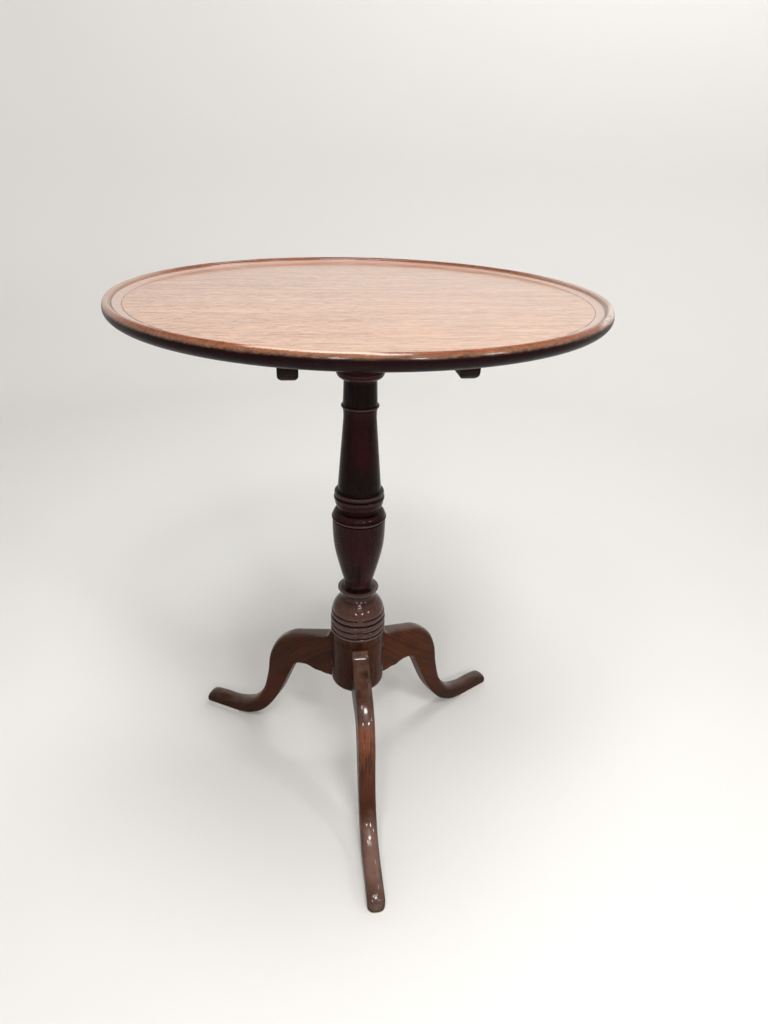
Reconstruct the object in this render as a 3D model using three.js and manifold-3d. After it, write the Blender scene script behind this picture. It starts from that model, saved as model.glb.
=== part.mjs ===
// Tilt top tripod table: a dished round top on a turned column with three cabriole legs.
// Millimetres, +Z up. The origin is on the floor under the column, and the front leg points along -Y.
import * as THREE from 'three';
import { mergeVertices } from 'three/addons/utils/BufferGeometryUtils.js';
import Module from 'manifold-3d';

const wasm = await Module();
wasm.setup();

// Driving dimensions
const tableHeight = 710;
const topDiameter = 559.5;
const footReach = 279.3;
const legUndersideHeight = 143;
const seatGap = 0.3;
const cutOverrun = 2;
const screwBiteShare = 0.6;

// The board, from its crest to its underside
const board = {
  thickness: 22,
  dishDepth: 6,
  crestInnerWidth: 4.2,
  crestInnerDrop: 3,
  crestOuterWidth: 4,
  crestOuterDrop: 8,
  underWidth: 15.8,
  underDrop: 11.1,
  bevelWidth: 28,
  quirkWidth: 2.2,
  quirkDepth: 1,
  coveWidth: 8.8,
  coveTopDrop: 2.4,
  lineWidth: 1.2,
  lineDepth: 0.4,
  sides: 80,
};

// The battens, and the pintles that they turn on
const batten = { spacing: 172.4, width: 20, height: 30, length: 372, endRound: 12, edgeRound: 7.5 };
const battenScrewPlaceShares = [-0.88, -0.4, 0.42, 0.88];
const pintle = { radius: 8, runningGap: 0.3, endInset: 1, sides: 40 };
const block = { depth: 116, thickness: 32, sideGap: 0.5, chamfer: 4 };

// The turned column, in the order of its members from the floor up
const drum = { radius: 38.3, footRound: 10, plainHeight: 93.3 };
const scribedLine = { depth: 0.6, width: 1.4, pastLeg: 2.5 };
const reeds = { count: 3, pitch: 9.85, radius: 39, lastRadius: 38, fillet: 4.4 };
const reedGroove = { width: 1.1, depth: 1.6 };
const dome = {
  footRadius: 36.6, shoulderRadius: 27.6, neckRadius: 21.4, height: 16.85, flareHeight: 10.7, neckHeight: 6.3,
};
const disc = { radius: 28.3, lipRadius: 27, lowerHeight: 0.9, edgeHeight: 0.8, upperHeight: 3.9 };
const urn = { footRadius: 18.4, radius: 35.3, height: 105.05 };
const shoulder = { radius: 36.3, groove: 1.5, grooveDepth: 1.6, bead: 3.8, ovoloRadius: 35, ovolo: 9.6 };
const waist = { radius: 28.4, height: 1.5, coveHeight: 12 };
const cuff = { lowerRadius: 33.3, lowerReed: 5.3, upperRadius: 32.6, upperReed: 5.9 };
const cuffGroove = { width: 0.8, depth: 0.9 };
const cuffFillet = { radius: 29.8, height: 2.3 };
const shaft = { footRadius: 28.4, topRadius: 20.9 };
const astragal = { radius: 23.9, height: 4, fillet: 2.4, filletRadius: 21.6, cove: 11 };
const neck = { radius: 20.65, height: 30.5 };
const capital = { ring: 2.4, ringRadius: 21.6, ovolo: 6.6, ovoloRadius: 29.3 };
const capitalFillet = { radius: 29.8, height: 2.6 };
const cap = { throatRadius: 27, throat: 26.4, radius: 35, height: 11.8, round: 3 };
const turnedSides = 30;
const tenon = { radius: 13, endInset: 0.6 };
const wedge = { width: 24, topThickness: 5, tipThickness: 2, height: 20 };

// The legs, their tongues and their pads
const leg = { thickness: 23, height: 80, arris: 1.2, topFlat: 2.9, tipDepth: 8.5, flatDepth: 2 };
const tongue = { neckWidth: 11, rootWidth: 17, depth: 16.5, topInset: 5 };
const pad = { thickness: 2.2, length: 64, inset: 0.6 };
const legNames = ['front', 'left', 'right'];
const frontLegAngle = -Math.PI / 2;
const legStep = (2 * Math.PI) / legNames.length;

// Places on the leg's outline: along from the shoulder to the tip, and up from the pad to the leg's top
const legCoveShares = [[0.018, 0.955], [0.063, 0.941]];
const legTopShares = [
  [0.212, 0.9], [0.311, 0.866], [0.401, 0.782], [0.457, 0.646], [0.482, 0.478], [0.533, 0.283],
  [0.632, 0.15], [0.764, 0.095], [0.888, 0.093], [0.97, 0.073], [1, 0.02],
];
const legUnderShares = [
  [0.735, 0], [0.632, 0.025], [0.517, 0.113], [0.41, 0.288], [0.315, 0.528], [0.265, 0.633], [0.204, 0.657],
  [0.162, 0.654],
];
const legCuspShare = 0.121;

// The iron brace under the base
const brace = { thickness: 2.5, hubRadius: 19, armWidth: 18, armPastDrum: 24 };

// The brass catch under the board
const catchPlate = { width: 36, length: 70, thickness: 1.6, blockGap: 4 };
const bolt = { width: 9, thickness: 4.5, length: 66, drawnGap: 1.5, engagement: 6, tipChamfer: 1.2 };
const guide = { length: 8, thickness: 1.6, slideGap: 0.4, footWidth: 8.5 };
const guidePlaceShares = [0.16, 0.74];
const spring = { length: 24, width: 6, thickness: 0.5, bow: 0.2 };
const knob = { stemRadius: 2.5, neckRadius: 3, neckHeight: 5, radius: 6.5, height: 9, sides: 16 };
const knobPlaceShare = 0.48;
const strike = { width: 32, height: 18, thickness: 1.6, topInset: 0.8, slotGap: 0.5, endRoom: 3 };
const strikeScrewShare = 0.36;

// Screws: the steel ones hold wood and iron, the brass ones the catch
const screwSides = 12;
const steelScrew = { shankRadius: 2.2, headRadius: 4.2, headHeight: 2.6, slotWidth: 0.9, slotDepth: 1 };
const braceScrew = { shankRadius: 1.8, headRadius: 3.6, headHeight: 2, slotWidth: 0.8, slotDepth: 0.9 };
const brassScrew = { shankRadius: 1.4, headRadius: 2.8, headHeight: 1.4, slotWidth: 0.6, slotDepth: 0.6 };
const braceScrewLength = 16;
const strikeScrewLength = 12;

// Levels worked out from the driving dimensions
const topRadius = topDiameter / 2;
const boardUnderside = tableHeight - board.thickness;
const fieldLevel = tableHeight - board.dishDepth;
const fieldThickness = board.thickness - board.dishDepth;
const hangLevel = boardUnderside - seatGap;
const battenUnderside = hangLevel - batten.height;
const pintleLevel = hangLevel - batten.height / 2;
const blockRound = hangLevel - pintleLevel;
const blockUnderside = hangLevel - block.thickness;
const blockFront = -block.depth / 2;
const pintlePlace = block.depth / 2 - blockRound;
const blockWidth = batten.spacing - batten.width - 2 * block.sideGap;
const columnShoulder = blockUnderside - seatGap;
const drumFlat = drum.radius - leg.flatDepth;
const legShoulder = drumFlat + seatGap;
const legTop = legUndersideHeight + leg.height;
const legFloor = pad.thickness + seatGap;

// Materials
function material(color, roughness, metalness) {
  return new THREE.MeshStandardMaterial({ color, roughness, metalness });
}
const topWood = material(0x8a4a2c, 0.4, 0);
const darkWood = material(0x3a1a16, 0.3, 0);
const legWood = material(0x5a2c18, 0.35, 0);
const plainWood = material(0x4a2a1c, 0.6, 0);
const padFelt = material(0xb9aa96, 0.9, 0);
const brass = material(0xa98438, 0.35, 1);
const iron = material(0x2e2b29, 0.6, 1);
const steel = material(0x77736c, 0.4, 1);

// Solids

// A closed geometry as a solid that can be cut and joined.
function solid(geometry) {
  geometry.deleteAttribute('normal');
  geometry.deleteAttribute('uv');
  const merged = mergeVertices(geometry);
  const vertProperties = new Float32Array(merged.attributes.position.array);
  const triVerts = new Uint32Array(merged.index.array);
  return new wasm.Manifold(new wasm.Mesh({ numProp: 3, vertProperties, triVerts }));
}

function geometryOf(body) {
  const mesh = body.getMesh();
  const geometry = new THREE.BufferGeometry();
  geometry.setAttribute('position', new THREE.BufferAttribute(mesh.vertProperties, mesh.numProp));
  geometry.setIndex(new THREE.BufferAttribute(mesh.triVerts, 1));
  geometry.computeVertexNormals();
  return geometry;
}

// A turned solid about +Z, from a profile of [radius, level] that starts and ends on the axis.
function turned(profile, sides) {
  const points = profile.map(([radius, level]) => new THREE.Vector2(radius, level));
  return solid(new THREE.LatheGeometry(points, sides).rotateX(Math.PI / 2));
}

function shapeOf(points) {
  return new THREE.Shape(points.map(([x, y]) => new THREE.Vector2(x, y)));
}

// An upright prism on a plan outline.
function upright(points, bottom, height) {
  const geometry = new THREE.ExtrudeGeometry(shapeOf(points), { depth: height, bevelEnabled: false });
  return solid(geometry.translate(0, 0, bottom));
}

// A prism across X, from an outline in Y and Z.
function acrossX(shape, width, curveSegments = 1) {
  const geometry = new THREE.ExtrudeGeometry(shape, { depth: width, bevelEnabled: false, curveSegments });
  return solid(geometry.rotateX(Math.PI / 2).rotateZ(Math.PI / 2).translate(-width / 2, 0, 0));
}

// A prism along Y, from a section in X and Z.
function alongY(shape, length, curveSegments = 1) {
  const geometry = new THREE.ExtrudeGeometry(shape, { depth: length, bevelEnabled: false, curveSegments });
  return solid(geometry.rotateX(Math.PI / 2).translate(0, length / 2, 0));
}

function box(x, y, z, centre) {
  return solid(new THREE.BoxGeometry(x, y, z).translate(...centre));
}

// Points on a quarter of an ellipse about a centre, with the first and the last.
function arc(centre, across, up, from, to, steps) {
  return Array.from({ length: steps + 1 }, (_, step) => {
    const angle = from + ((to - from) * step) / steps;
    return [centre[0] + across * Math.cos(angle), centre[1] + up * Math.sin(angle)];
  });
}

// A slotted screw along +Z: its head's face is at zero and its point at its length.
function screw(size, length) {
  const body = turned([
    [0, 0], [size.headRadius, 0], [size.shankRadius, size.headHeight],
    [size.shankRadius, length - size.shankRadius], [0, length],
  ], screwSides);
  const slotSpan = 2 * (size.headRadius + cutOverrun);
  return body.subtract(box(slotSpan, size.slotWidth, 2 * size.slotDepth, [0, 0, 0]));
}

// The countersunk hole that such a screw goes into.
function screwHole(size, length) {
  const head = size.headRadius + seatGap;
  const shank = size.shankRadius + seatGap;
  return turned([
    [0, -cutOverrun], [head, -cutOverrun], [head, 0], [shank, size.headHeight],
    [shank, length - size.shankRadius], [seatGap, length + seatGap], [0, length + seatGap],
  ], screwSides);
}

// The scene graph
const table = new THREE.Group();
const topGroup = new THREE.Group();
const baseGroup = new THREE.Group();
table.add(topGroup, baseGroup);

function place(group, name, body, look, position = [0, 0, 0]) {
  const mesh = new THREE.Mesh(geometryOf(body), look);
  mesh.name = name;
  mesh.position.set(...position);
  group.add(mesh);
  return mesh;
}

// Where each screw goes in: its head's centre
const battenScrewLength = batten.height + seatGap + fieldThickness * screwBiteShare;
const battenScrews = ['left', 'right'].flatMap((side, sideIndex) =>
  battenScrewPlaceShares.map((share, index) => ({
    name: `batten_screw_${side}_${index + 1}`,
    side,
    at: [(sideIndex * 2 - 1) * (batten.spacing / 2), (share * batten.length) / 2, battenUnderside],
  })));

const plateUnderside = hangLevel - catchPlate.thickness;
const boltTop = plateUnderside - spring.thickness - spring.bow - 2 * seatGap;
const boltUnderside = boltTop - bolt.thickness;
const boltTip = blockFront - bolt.drawnGap;
const plateEnd = blockFront - catchPlate.blockGap;
const guideFootUnderside = plateUnderside - seatGap - guide.thickness;
const guideHalfSpan = bolt.width / 2 + guide.slideGap + guide.thickness;
const guidePlaces = guidePlaceShares.map((share) => plateEnd - share * catchPlate.length);
const catchScrewOffset = guideHalfSpan + guide.footWidth / 2;
const catchScrewLength = 2 * (seatGap + guide.thickness) + fieldThickness * screwBiteShare;
const catchScrews = guidePlaces.flatMap((y, index) => [-1, 1].map((side, sideIndex) => ({
  name: `catch_screw_${index * 2 + sideIndex + 1}`,
  at: [side * catchScrewOffset, y, guideFootUnderside],
})));

// The board
function boardProfile() {
  const crest = topRadius - board.crestOuterWidth;
  const crestFoot = crest - board.crestInnerWidth;
  const widest = tableHeight - board.crestOuterDrop;
  const underside = topRadius - board.underWidth;
  const coveTop = tableHeight - board.coveTopDrop - board.quirkDepth;
  const coveOuter = crestFoot - board.quirkWidth;
  const coveInner = coveOuter - board.coveWidth;
  const quirkFloor = tableHeight - board.crestInnerDrop - board.quirkDepth;
  return [
    [0, boardUnderside], [underside - board.bevelWidth, boardUnderside],
    ...arc([underside, widest], board.underWidth, board.underDrop, -Math.PI / 2, 0, 4),
    ...arc([crest, widest], board.crestOuterWidth, board.crestOuterDrop, 0, Math.PI / 2, 4).slice(1),
    ...arc([crest, tableHeight - board.crestInnerDrop], board.crestInnerWidth, board.crestInnerDrop,
      Math.PI / 2, Math.PI, 4).slice(1),
    [crestFoot - board.quirkWidth / 2, quirkFloor],
    ...arc([coveInner, coveTop], board.coveWidth, coveTop - fieldLevel, 0, -Math.PI / 2, 4),
    [coveInner - board.lineWidth / 2, fieldLevel - board.lineDepth],
    [coveInner - board.lineWidth, fieldLevel], [0, fieldLevel],
  ];
}

function buildBoard() {
  let body = turned(boardProfile(), board.sides);
  for (const { at } of battenScrews) {
    body = body.subtract(screwHole(steelScrew, battenScrewLength).translate(at));
  }
  for (const { at } of catchScrews) {
    body = body.subtract(screwHole(brassScrew, catchScrewLength).translate(at));
  }
  place(topGroup, 'table_top', body, topWood);
}

// An outline that hangs from the board, with its two lower corners round.
function hangingOutline(span, round) {
  const half = span / 2;
  const outline = new THREE.Shape();
  outline.moveTo(-half, hangLevel);
  outline.lineTo(-half, battenUnderside + round);
  outline.absarc(-half + round, battenUnderside + round, round, Math.PI, 1.5 * Math.PI, false);
  outline.absarc(half - round, battenUnderside + round, round, 1.5 * Math.PI, 2 * Math.PI, false);
  outline.lineTo(half, hangLevel);
  return outline;
}

// The battens
function buildBattens() {
  const section = alongY(hangingOutline(batten.width, batten.edgeRound), batten.length + 2 * cutOverrun, 4);
  const blank = acrossX(hangingOutline(batten.length, batten.endRound), batten.width, 6).intersect(section);
  const holeRadius = pintle.radius + pintle.runningGap;
  const holeLength = batten.width + 2 * cutOverrun;
  for (const [index, side] of ['left', 'right'].entries()) {
    const x = (index * 2 - 1) * (batten.spacing / 2);
    const hole = rodAcross(holeRadius, holeLength, [x, pintlePlace, pintleLevel]);
    let body = blank.translate([x, 0, 0]).subtract(hole);
    for (const item of battenScrews.filter((one) => one.side === side)) {
      body = body.subtract(screwHole(steelScrew, battenScrewLength).translate(item.at));
      place(topGroup, item.name, screw(steelScrew, battenScrewLength), steel, item.at);
    }
    place(topGroup, `batten_${side}`, body, darkWood);
  }
}

// A round rod along X, centred on a place.
function rodAcross(radius, length, centre) {
  const geometry = new THREE.CylinderGeometry(radius, radius, length, pintle.sides);
  return solid(geometry.rotateZ(Math.PI / 2).translate(...centre));
}

// The block, round at its rear top edge about the pintles, so that the board can swing past it
function buildBlock() {
  const rear = block.depth / 2;
  const outline = new THREE.Shape();
  outline.moveTo(blockFront, hangLevel);
  outline.lineTo(blockFront, blockUnderside + block.chamfer);
  outline.lineTo(blockFront + block.chamfer, blockUnderside);
  outline.lineTo(rear - block.chamfer, blockUnderside);
  outline.lineTo(rear, blockUnderside + block.chamfer);
  outline.lineTo(rear, pintleLevel);
  outline.absarc(pintlePlace, pintleLevel, blockRound, 0, Math.PI / 2, false);
  const reach = block.sideGap + batten.width - pintle.endInset;
  const rodLength = blockWidth + 2 * reach;
  const tenonHole = turned([
    [0, blockUnderside - cutOverrun], [tenon.radius + seatGap, blockUnderside - cutOverrun],
    [tenon.radius + seatGap, hangLevel + cutOverrun], [0, hangLevel + cutOverrun],
  ], turnedSides);
  let body = acrossX(outline, blockWidth, 8)
    .add(rodAcross(pintle.radius, rodLength, [0, pintlePlace, pintleLevel]))
    .subtract(tenonHole);

  const recess = strike.thickness + seatGap;
  const strikeGap = 2 * seatGap;
  body = body.subtract(box(strike.width + strikeGap, 2 * recess, strike.height + strikeGap,
    [0, blockFront, strikeLevel]));
  body = body.subtract(slotCutter());
  for (const item of strikeScrews) {
    body = body.subtract(strikeScrewHole().translate(item.at));
  }
  place(baseGroup, 'tilt_block', body, plainWood);
}

// The strike plate in the block's front face, its slot in line with the bolt
const boltLevel = (boltTop + boltUnderside) / 2;
const slotDepth = bolt.engagement + strike.endRoom;
function slotCutter() {
  const width = bolt.width + 2 * strike.slotGap;
  const height = bolt.thickness + 2 * strike.slotGap;
  return box(width, 2 * slotDepth, height, [0, blockFront, boltLevel]);
}

const strikeLevel = hangLevel - strike.topInset - strike.height / 2;
const strikeScrews = ['left', 'right'].map((side, index) => ({
  name: `strike_screw_${side}`,
  at: [(index * 2 - 1) * strikeScrewShare * strike.width, blockFront, strikeLevel],
}));

function strikeScrewHole() {
  return screwHole(brassScrew, strikeScrewLength).rotate([-90, 0, 0]);
}

function buildStrike() {
  const plate = box(strike.width, strike.thickness, strike.height,
    [0, blockFront + strike.thickness / 2, strikeLevel]);
  let body = plate.subtract(slotCutter());
  for (const item of strikeScrews) {
    body = body.subtract(strikeScrewHole().translate(item.at));
    place(baseGroup, item.name, screw(brassScrew, strikeScrewLength).rotate([-90, 0, 0]), brass, item.at);
  }
  place(baseGroup, 'strike_plate', body, brass);
}

// The column's profile, member by member

// A bulging member from one level to the next, standing out from a radius.
function bead(bottom, height, foot, radius, steps = 2) {
  return arc([foot, bottom + height / 2], radius - foot, height / 2, -Math.PI / 2, Math.PI / 2, steps);
}

// A smooth line through the points.
function curve(points, steps) {
  const spline = new THREE.SplineCurve(points.map(([x, y]) => new THREE.Vector2(x, y)));
  return spline.getPoints(steps).map((point) => [point.x, point.y]);
}

// A line from the start to the end that bends towards the control point.
function bend(start, control, end, steps) {
  const vectors = [start, control, end].map(([x, y]) => new THREE.Vector2(x, y));
  const bow = new THREE.QuadraticBezierCurve(...vectors);
  return bow.getPoints(steps).map((point) => [point.x, point.y]);
}

const domeControlShares = [0.08, 0.51];
const domeFlareShare = 0.44;
const discControlShares = [0.7, 0.35];
const urnShares = [
  [0, 0], [0.083, 0.081], [0.422, 0.283], [0.743, 0.495], [0.908, 0.651], [0.982, 0.816], [1, 1],
];
const shoulderControlShares = [0.88, 0.62];
const coveControlShares = [0.8, 0.37];

function baseMembers() {
  const lineLevel = legTop + scribedLine.pastLeg;
  const drumTop = legUndersideHeight + drum.plainHeight;
  const grooveRadius = reeds.radius - reedGroove.depth;
  const footCentre = [drum.radius - drum.footRound, legUndersideHeight + drum.footRound];
  const points = [
    [0, legUndersideHeight],
    ...arc(footCentre, drum.footRound, drum.footRound, -Math.PI / 2, 0, 4),
    [drum.radius, lineLevel], [drum.radius - scribedLine.depth, lineLevel + scribedLine.width / 2],
    [drum.radius, lineLevel + scribedLine.width],
    [drum.radius, drumTop], [grooveRadius, drumTop + reedGroove.width / 2],
    ...bead(drumTop + reedGroove.width, reeds.fillet, grooveRadius, reeds.radius),
  ];
  let level = drumTop + reedGroove.width + reeds.fillet;
  for (let index = 0; index < reeds.count; index += 1) {
    const last = index === reeds.count - 1;
    const radius = last ? reeds.lastRadius : reeds.radius;
    const foot = last ? dome.footRadius - reedGroove.width : grooveRadius;
    points.push([grooveRadius, level + reedGroove.width / 2]);
    points.push(...bead(level + reedGroove.width, reeds.pitch - reedGroove.width, foot, radius, 3));
    level += reeds.pitch;
  }
  const domeFoot = level + reedGroove.width;
  const domeTop = domeFoot + dome.height;
  const domeFall = dome.footRadius - dome.shoulderRadius;
  const neckFoot = domeTop + dome.flareHeight;
  points.push(...bend([dome.footRadius, domeFoot],
    [dome.footRadius - domeControlShares[0] * domeFall, domeFoot + domeControlShares[1] * dome.height],
    [dome.shoulderRadius, domeTop], 4));
  points.push(...bend([dome.shoulderRadius, domeTop],
    [dome.neckRadius, domeTop + domeFlareShare * dome.flareHeight], [dome.neckRadius, neckFoot], 3).slice(1));
  points.push([dome.neckRadius, neckFoot + dome.neckHeight]);
  return { points, level: neckFoot + dome.neckHeight };
}

function discAndUrn(start) {
  const edge = start + disc.lowerHeight;
  const upper = edge + disc.edgeHeight;
  const urnFoot = upper + disc.upperHeight;
  const discFall = disc.radius - urn.footRadius;
  const urnSwell = urn.radius - urn.footRadius;
  const urnPoints = urnShares.map(([out, up]) => [
    urn.footRadius + out * urnSwell, urnFoot + up * urn.height,
  ]);
  const points = [
    ...arc([disc.lipRadius, edge], disc.radius - disc.lipRadius, disc.lowerHeight, -Math.PI / 2, 0, 2),
    ...bend([disc.radius, upper],
      [disc.radius - discControlShares[0] * discFall, upper + discControlShares[1] * disc.upperHeight],
      [urn.footRadius, urnFoot], 3),
    ...curve(urnPoints, 9).slice(1),
  ];
  return { points, level: urnFoot + urn.height };
}

function shoulderAndCuff(start) {
  const beadFoot = start + shoulder.groove;
  const beadTop = beadFoot + shoulder.bead;
  const ovoloFoot = beadTop + shoulder.groove / 2;
  const ovoloTop = ovoloFoot + shoulder.ovolo;
  const coveFoot = ovoloTop + waist.height;
  const lowerFoot = coveFoot + waist.coveHeight;
  const grooveRadius = shoulder.radius - shoulder.grooveDepth;
  const lowerGroove = cuff.lowerRadius - cuffGroove.depth;
  const upperGroove = cuff.upperRadius - cuffGroove.depth;
  const upperFoot = lowerFoot + cuff.lowerReed + cuffGroove.width;
  const filletFoot = upperFoot + cuff.upperReed + cuffGroove.width;
  const shoulderFall = shoulder.ovoloRadius - waist.radius;
  const coveSwell = lowerGroove - waist.radius;
  const points = [
    [grooveRadius - shoulder.grooveDepth / 2, start + shoulder.groove / 2],
    ...bead(beadFoot, shoulder.bead, grooveRadius, shoulder.radius),
    ...bend([shoulder.ovoloRadius, ovoloFoot],
      [waist.radius + shoulderControlShares[0] * shoulderFall, ovoloFoot + shoulderControlShares[1] * shoulder.ovolo],
      [waist.radius, ovoloTop], 3),
    ...bend([waist.radius, coveFoot],
      [waist.radius + coveControlShares[0] * coveSwell, coveFoot + coveControlShares[1] * waist.coveHeight],
      [lowerGroove, lowerFoot], 3),
    ...bead(lowerFoot, cuff.lowerReed, lowerGroove, cuff.lowerRadius, 3).slice(1),
    ...bead(upperFoot, cuff.upperReed, upperGroove, cuff.upperRadius, 3),
    ...bead(filletFoot, cuffFillet.height, shaft.footRadius, cuffFillet.radius),
  ];
  return { points, level: filletFoot + cuffFillet.height };
}

function columnTop() {
  const capFoot = columnShoulder - cap.height;
  const throatFoot = capFoot - cap.throat;
  const filletFoot = throatFoot - capitalFillet.height;
  const ovoloFoot = filletFoot - capital.ovolo;
  const ringFoot = ovoloFoot - capital.ring;
  const neckFoot = ringFoot - neck.height;
  const beadFoot = neckFoot - astragal.height;
  const astragalFoot = beadFoot - astragal.fillet;
  const shaftTop = astragalFoot - astragal.cove;
  const points = [
    ...bend([shaft.topRadius, shaftTop], [shaft.topRadius, astragalFoot],
      [astragal.filletRadius, astragalFoot], 3),
    ...bead(beadFoot, astragal.height, astragal.filletRadius, astragal.radius, 3),
    ...bead(ringFoot, capital.ring, neck.radius, capital.ringRadius),
    ...arc([capital.ringRadius, filletFoot], capital.ovoloRadius - capital.ringRadius, capital.ovolo,
      -Math.PI / 2, 0, 4),
    [capitalFillet.radius, filletFoot], [capitalFillet.radius, throatFoot],
    ...bend([capital.ovoloRadius, throatFoot], [cap.throatRadius, (throatFoot + capFoot) / 2],
      [cap.radius - cap.round, capFoot], 4),
    ...arc([cap.radius - cap.round, capFoot + cap.round], cap.round, cap.round, -Math.PI / 2, 0, 2).slice(1),
    [cap.radius, columnShoulder], [tenon.radius, columnShoulder],
    [tenon.radius, hangLevel - tenon.endInset], [0, hangLevel - tenon.endInset],
  ];
  return points;
}

// A dovetail in plan, with its neck at the shoulder and its root towards the axis.
function dovetail(gap) {
  const neckHalf = tongue.neckWidth / 2 + gap;
  const rootHalf = tongue.rootWidth / 2 + gap;
  const root = legShoulder - tongue.depth - gap;
  const slope = (rootHalf - neckHalf) / (legShoulder - root);
  const outer = legShoulder + cutOverrun;
  const outerHalf = neckHalf - slope * cutOverrun;
  return [[root, -rootHalf], [outer, -outerHalf], [outer, outerHalf], [root, rootHalf]];
}

const tongueTop = legTop - tongue.topInset;
const wedgeTop = hangLevel - tenon.endInset;

// The wedge's outline across the tenon, with a gap round it for the kerf.
function wedgeOutline(gap) {
  const tip = wedgeTop - wedge.height - gap;
  const top = wedgeTop + (gap > 0 ? cutOverrun : 0);
  const halfTop = wedge.topThickness / 2 + gap;
  const halfTip = wedge.tipThickness / 2 + gap;
  return shapeOf([[-halfTip, tip], [halfTip, tip], [halfTop, top], [-halfTop, top]]);
}

function braceScrewPlaces() {
  return [legShoulder - tongue.depth / 2, legShoulder + brace.armPastDrum - brace.armWidth / 2];
}

function buildColumn() {
  const lower = baseMembers();
  const middle = discAndUrn(lower.level);
  const upper = shoulderAndCuff(middle.level);
  const profile = [...lower.points, ...middle.points, ...upper.points, ...columnTop()];
  let body = turned(profile, turnedSides);
  const socketBottom = legUndersideHeight - cutOverrun;
  const flatTop = legTop + seatGap;
  const flatWidth = leg.thickness + 2 * seatGap;
  const flatSpan = leg.flatDepth + reeds.radius;
  for (const index of legNames.keys()) {
    const angle = THREE.MathUtils.radToDeg(frontLegAngle - index * legStep);
    const socket = upright(dovetail(seatGap), socketBottom, tongueTop + seatGap - socketBottom);
    const flat = box(flatSpan, flatWidth, flatTop - socketBottom,
      [drumFlat + flatSpan / 2, 0, (flatTop + socketBottom) / 2]);
    body = body.subtract(socket.add(flat).rotate([0, 0, angle]));
  }
  const kerfWidth = 2 * (tenon.radius + cutOverrun);
  body = body.subtract(acrossX(wedgeOutline(seatGap), kerfWidth));
  body = body.subtract(screwHole(braceScrew, braceScrewLength).translate([0, 0, braceUnderside]));
  place(baseGroup, 'column', body, darkWood);
  place(baseGroup, 'tenon_wedge', acrossX(wedgeOutline(0), wedge.width), plainWood);
}

// The legs, drawn along +X and turned into place
const legSpan = footReach - legShoulder;
const legRise = legTop - legFloor;

function onLeg([along, up]) {
  return new THREE.Vector2(legShoulder + along * legSpan, legFloor + up * legRise);
}

function legOutline() {
  const shape = new THREE.Shape();
  const cove = legCoveShares.map(onLeg);
  const cusp = legShoulder + legCuspShare * legSpan;
  const under = legUnderShares.map(onLeg);
  shape.moveTo(legShoulder, legUndersideHeight);
  shape.lineTo(legShoulder, legTop);
  shape.lineTo(legShoulder + leg.topFlat, legTop);
  shape.quadraticCurveTo(cove[0].x, cove[0].y, cove[1].x, cove[1].y);
  shape.splineThru(legTopShares.map(onLeg));
  shape.lineTo(footReach, legFloor);
  shape.lineTo(under[0].x, under[0].y);
  shape.splineThru(under.slice(1));
  shape.lineTo(cusp, legUndersideHeight);
  return shape;
}

// The plan of the foot's pointed end, wider than the leg by a share.
const planMarginShare = 1.2;
function footPlan() {
  const half = (leg.thickness / 2) * planMarginShare;
  const back = footReach - leg.tipDepth * planMarginShare;
  return [[0, -half], [back, -half], [footReach, 0], [back, half], [0, half]];
}

const braceUnderside = legUndersideHeight - seatGap - brace.thickness;

function buildLegs() {
  const blade = new THREE.ExtrudeGeometry(legOutline(), {
    depth: leg.thickness - 2 * leg.arris,
    bevelThickness: leg.arris,
    bevelSize: leg.arris,
    bevelOffset: -leg.arris,
    bevelSegments: 1,
    curveSegments: 3,
  });
  const half = leg.thickness / 2;
  const bladeBody = solid(blade.rotateX(Math.PI / 2).translate(0, half - leg.arris, 0));
  const plan = upright(footPlan(), -cutOverrun, legTop + 2 * cutOverrun);
  const tongueBody = upright(dovetail(0), legUndersideHeight, tongueTop - legUndersideHeight);
  let body = bladeBody.intersect(plan).add(tongueBody);
  for (const along of braceScrewPlaces()) {
    body = body.subtract(screwHole(braceScrew, braceScrewLength).translate([along, 0, braceUnderside]));
  }
  const padHalf = half - pad.inset;
  const padTip = footReach - pad.inset;
  const padOutline = [
    [footReach - pad.length, -padHalf], [footReach - leg.tipDepth, -padHalf], [padTip, 0],
    [footReach - leg.tipDepth, padHalf], [footReach - pad.length, padHalf],
  ];
  for (const [index, name] of legNames.entries()) {
    const group = new THREE.Group();
    group.rotation.z = frontLegAngle - index * legStep;
    baseGroup.add(group);
    place(group, `leg_${name}`, body, legWood);
    place(group, `foot_pad_${name}`, upright(padOutline, 0, pad.thickness), padFelt);
    for (const [screwIndex, along] of braceScrewPlaces().entries()) {
      const end = screwIndex === 0 ? 'inner' : 'outer';
      place(group, `brace_screw_${name}_${end}`, screw(braceScrew, braceScrewLength), steel,
        [along, 0, braceUnderside]);
    }
  }
}

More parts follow.
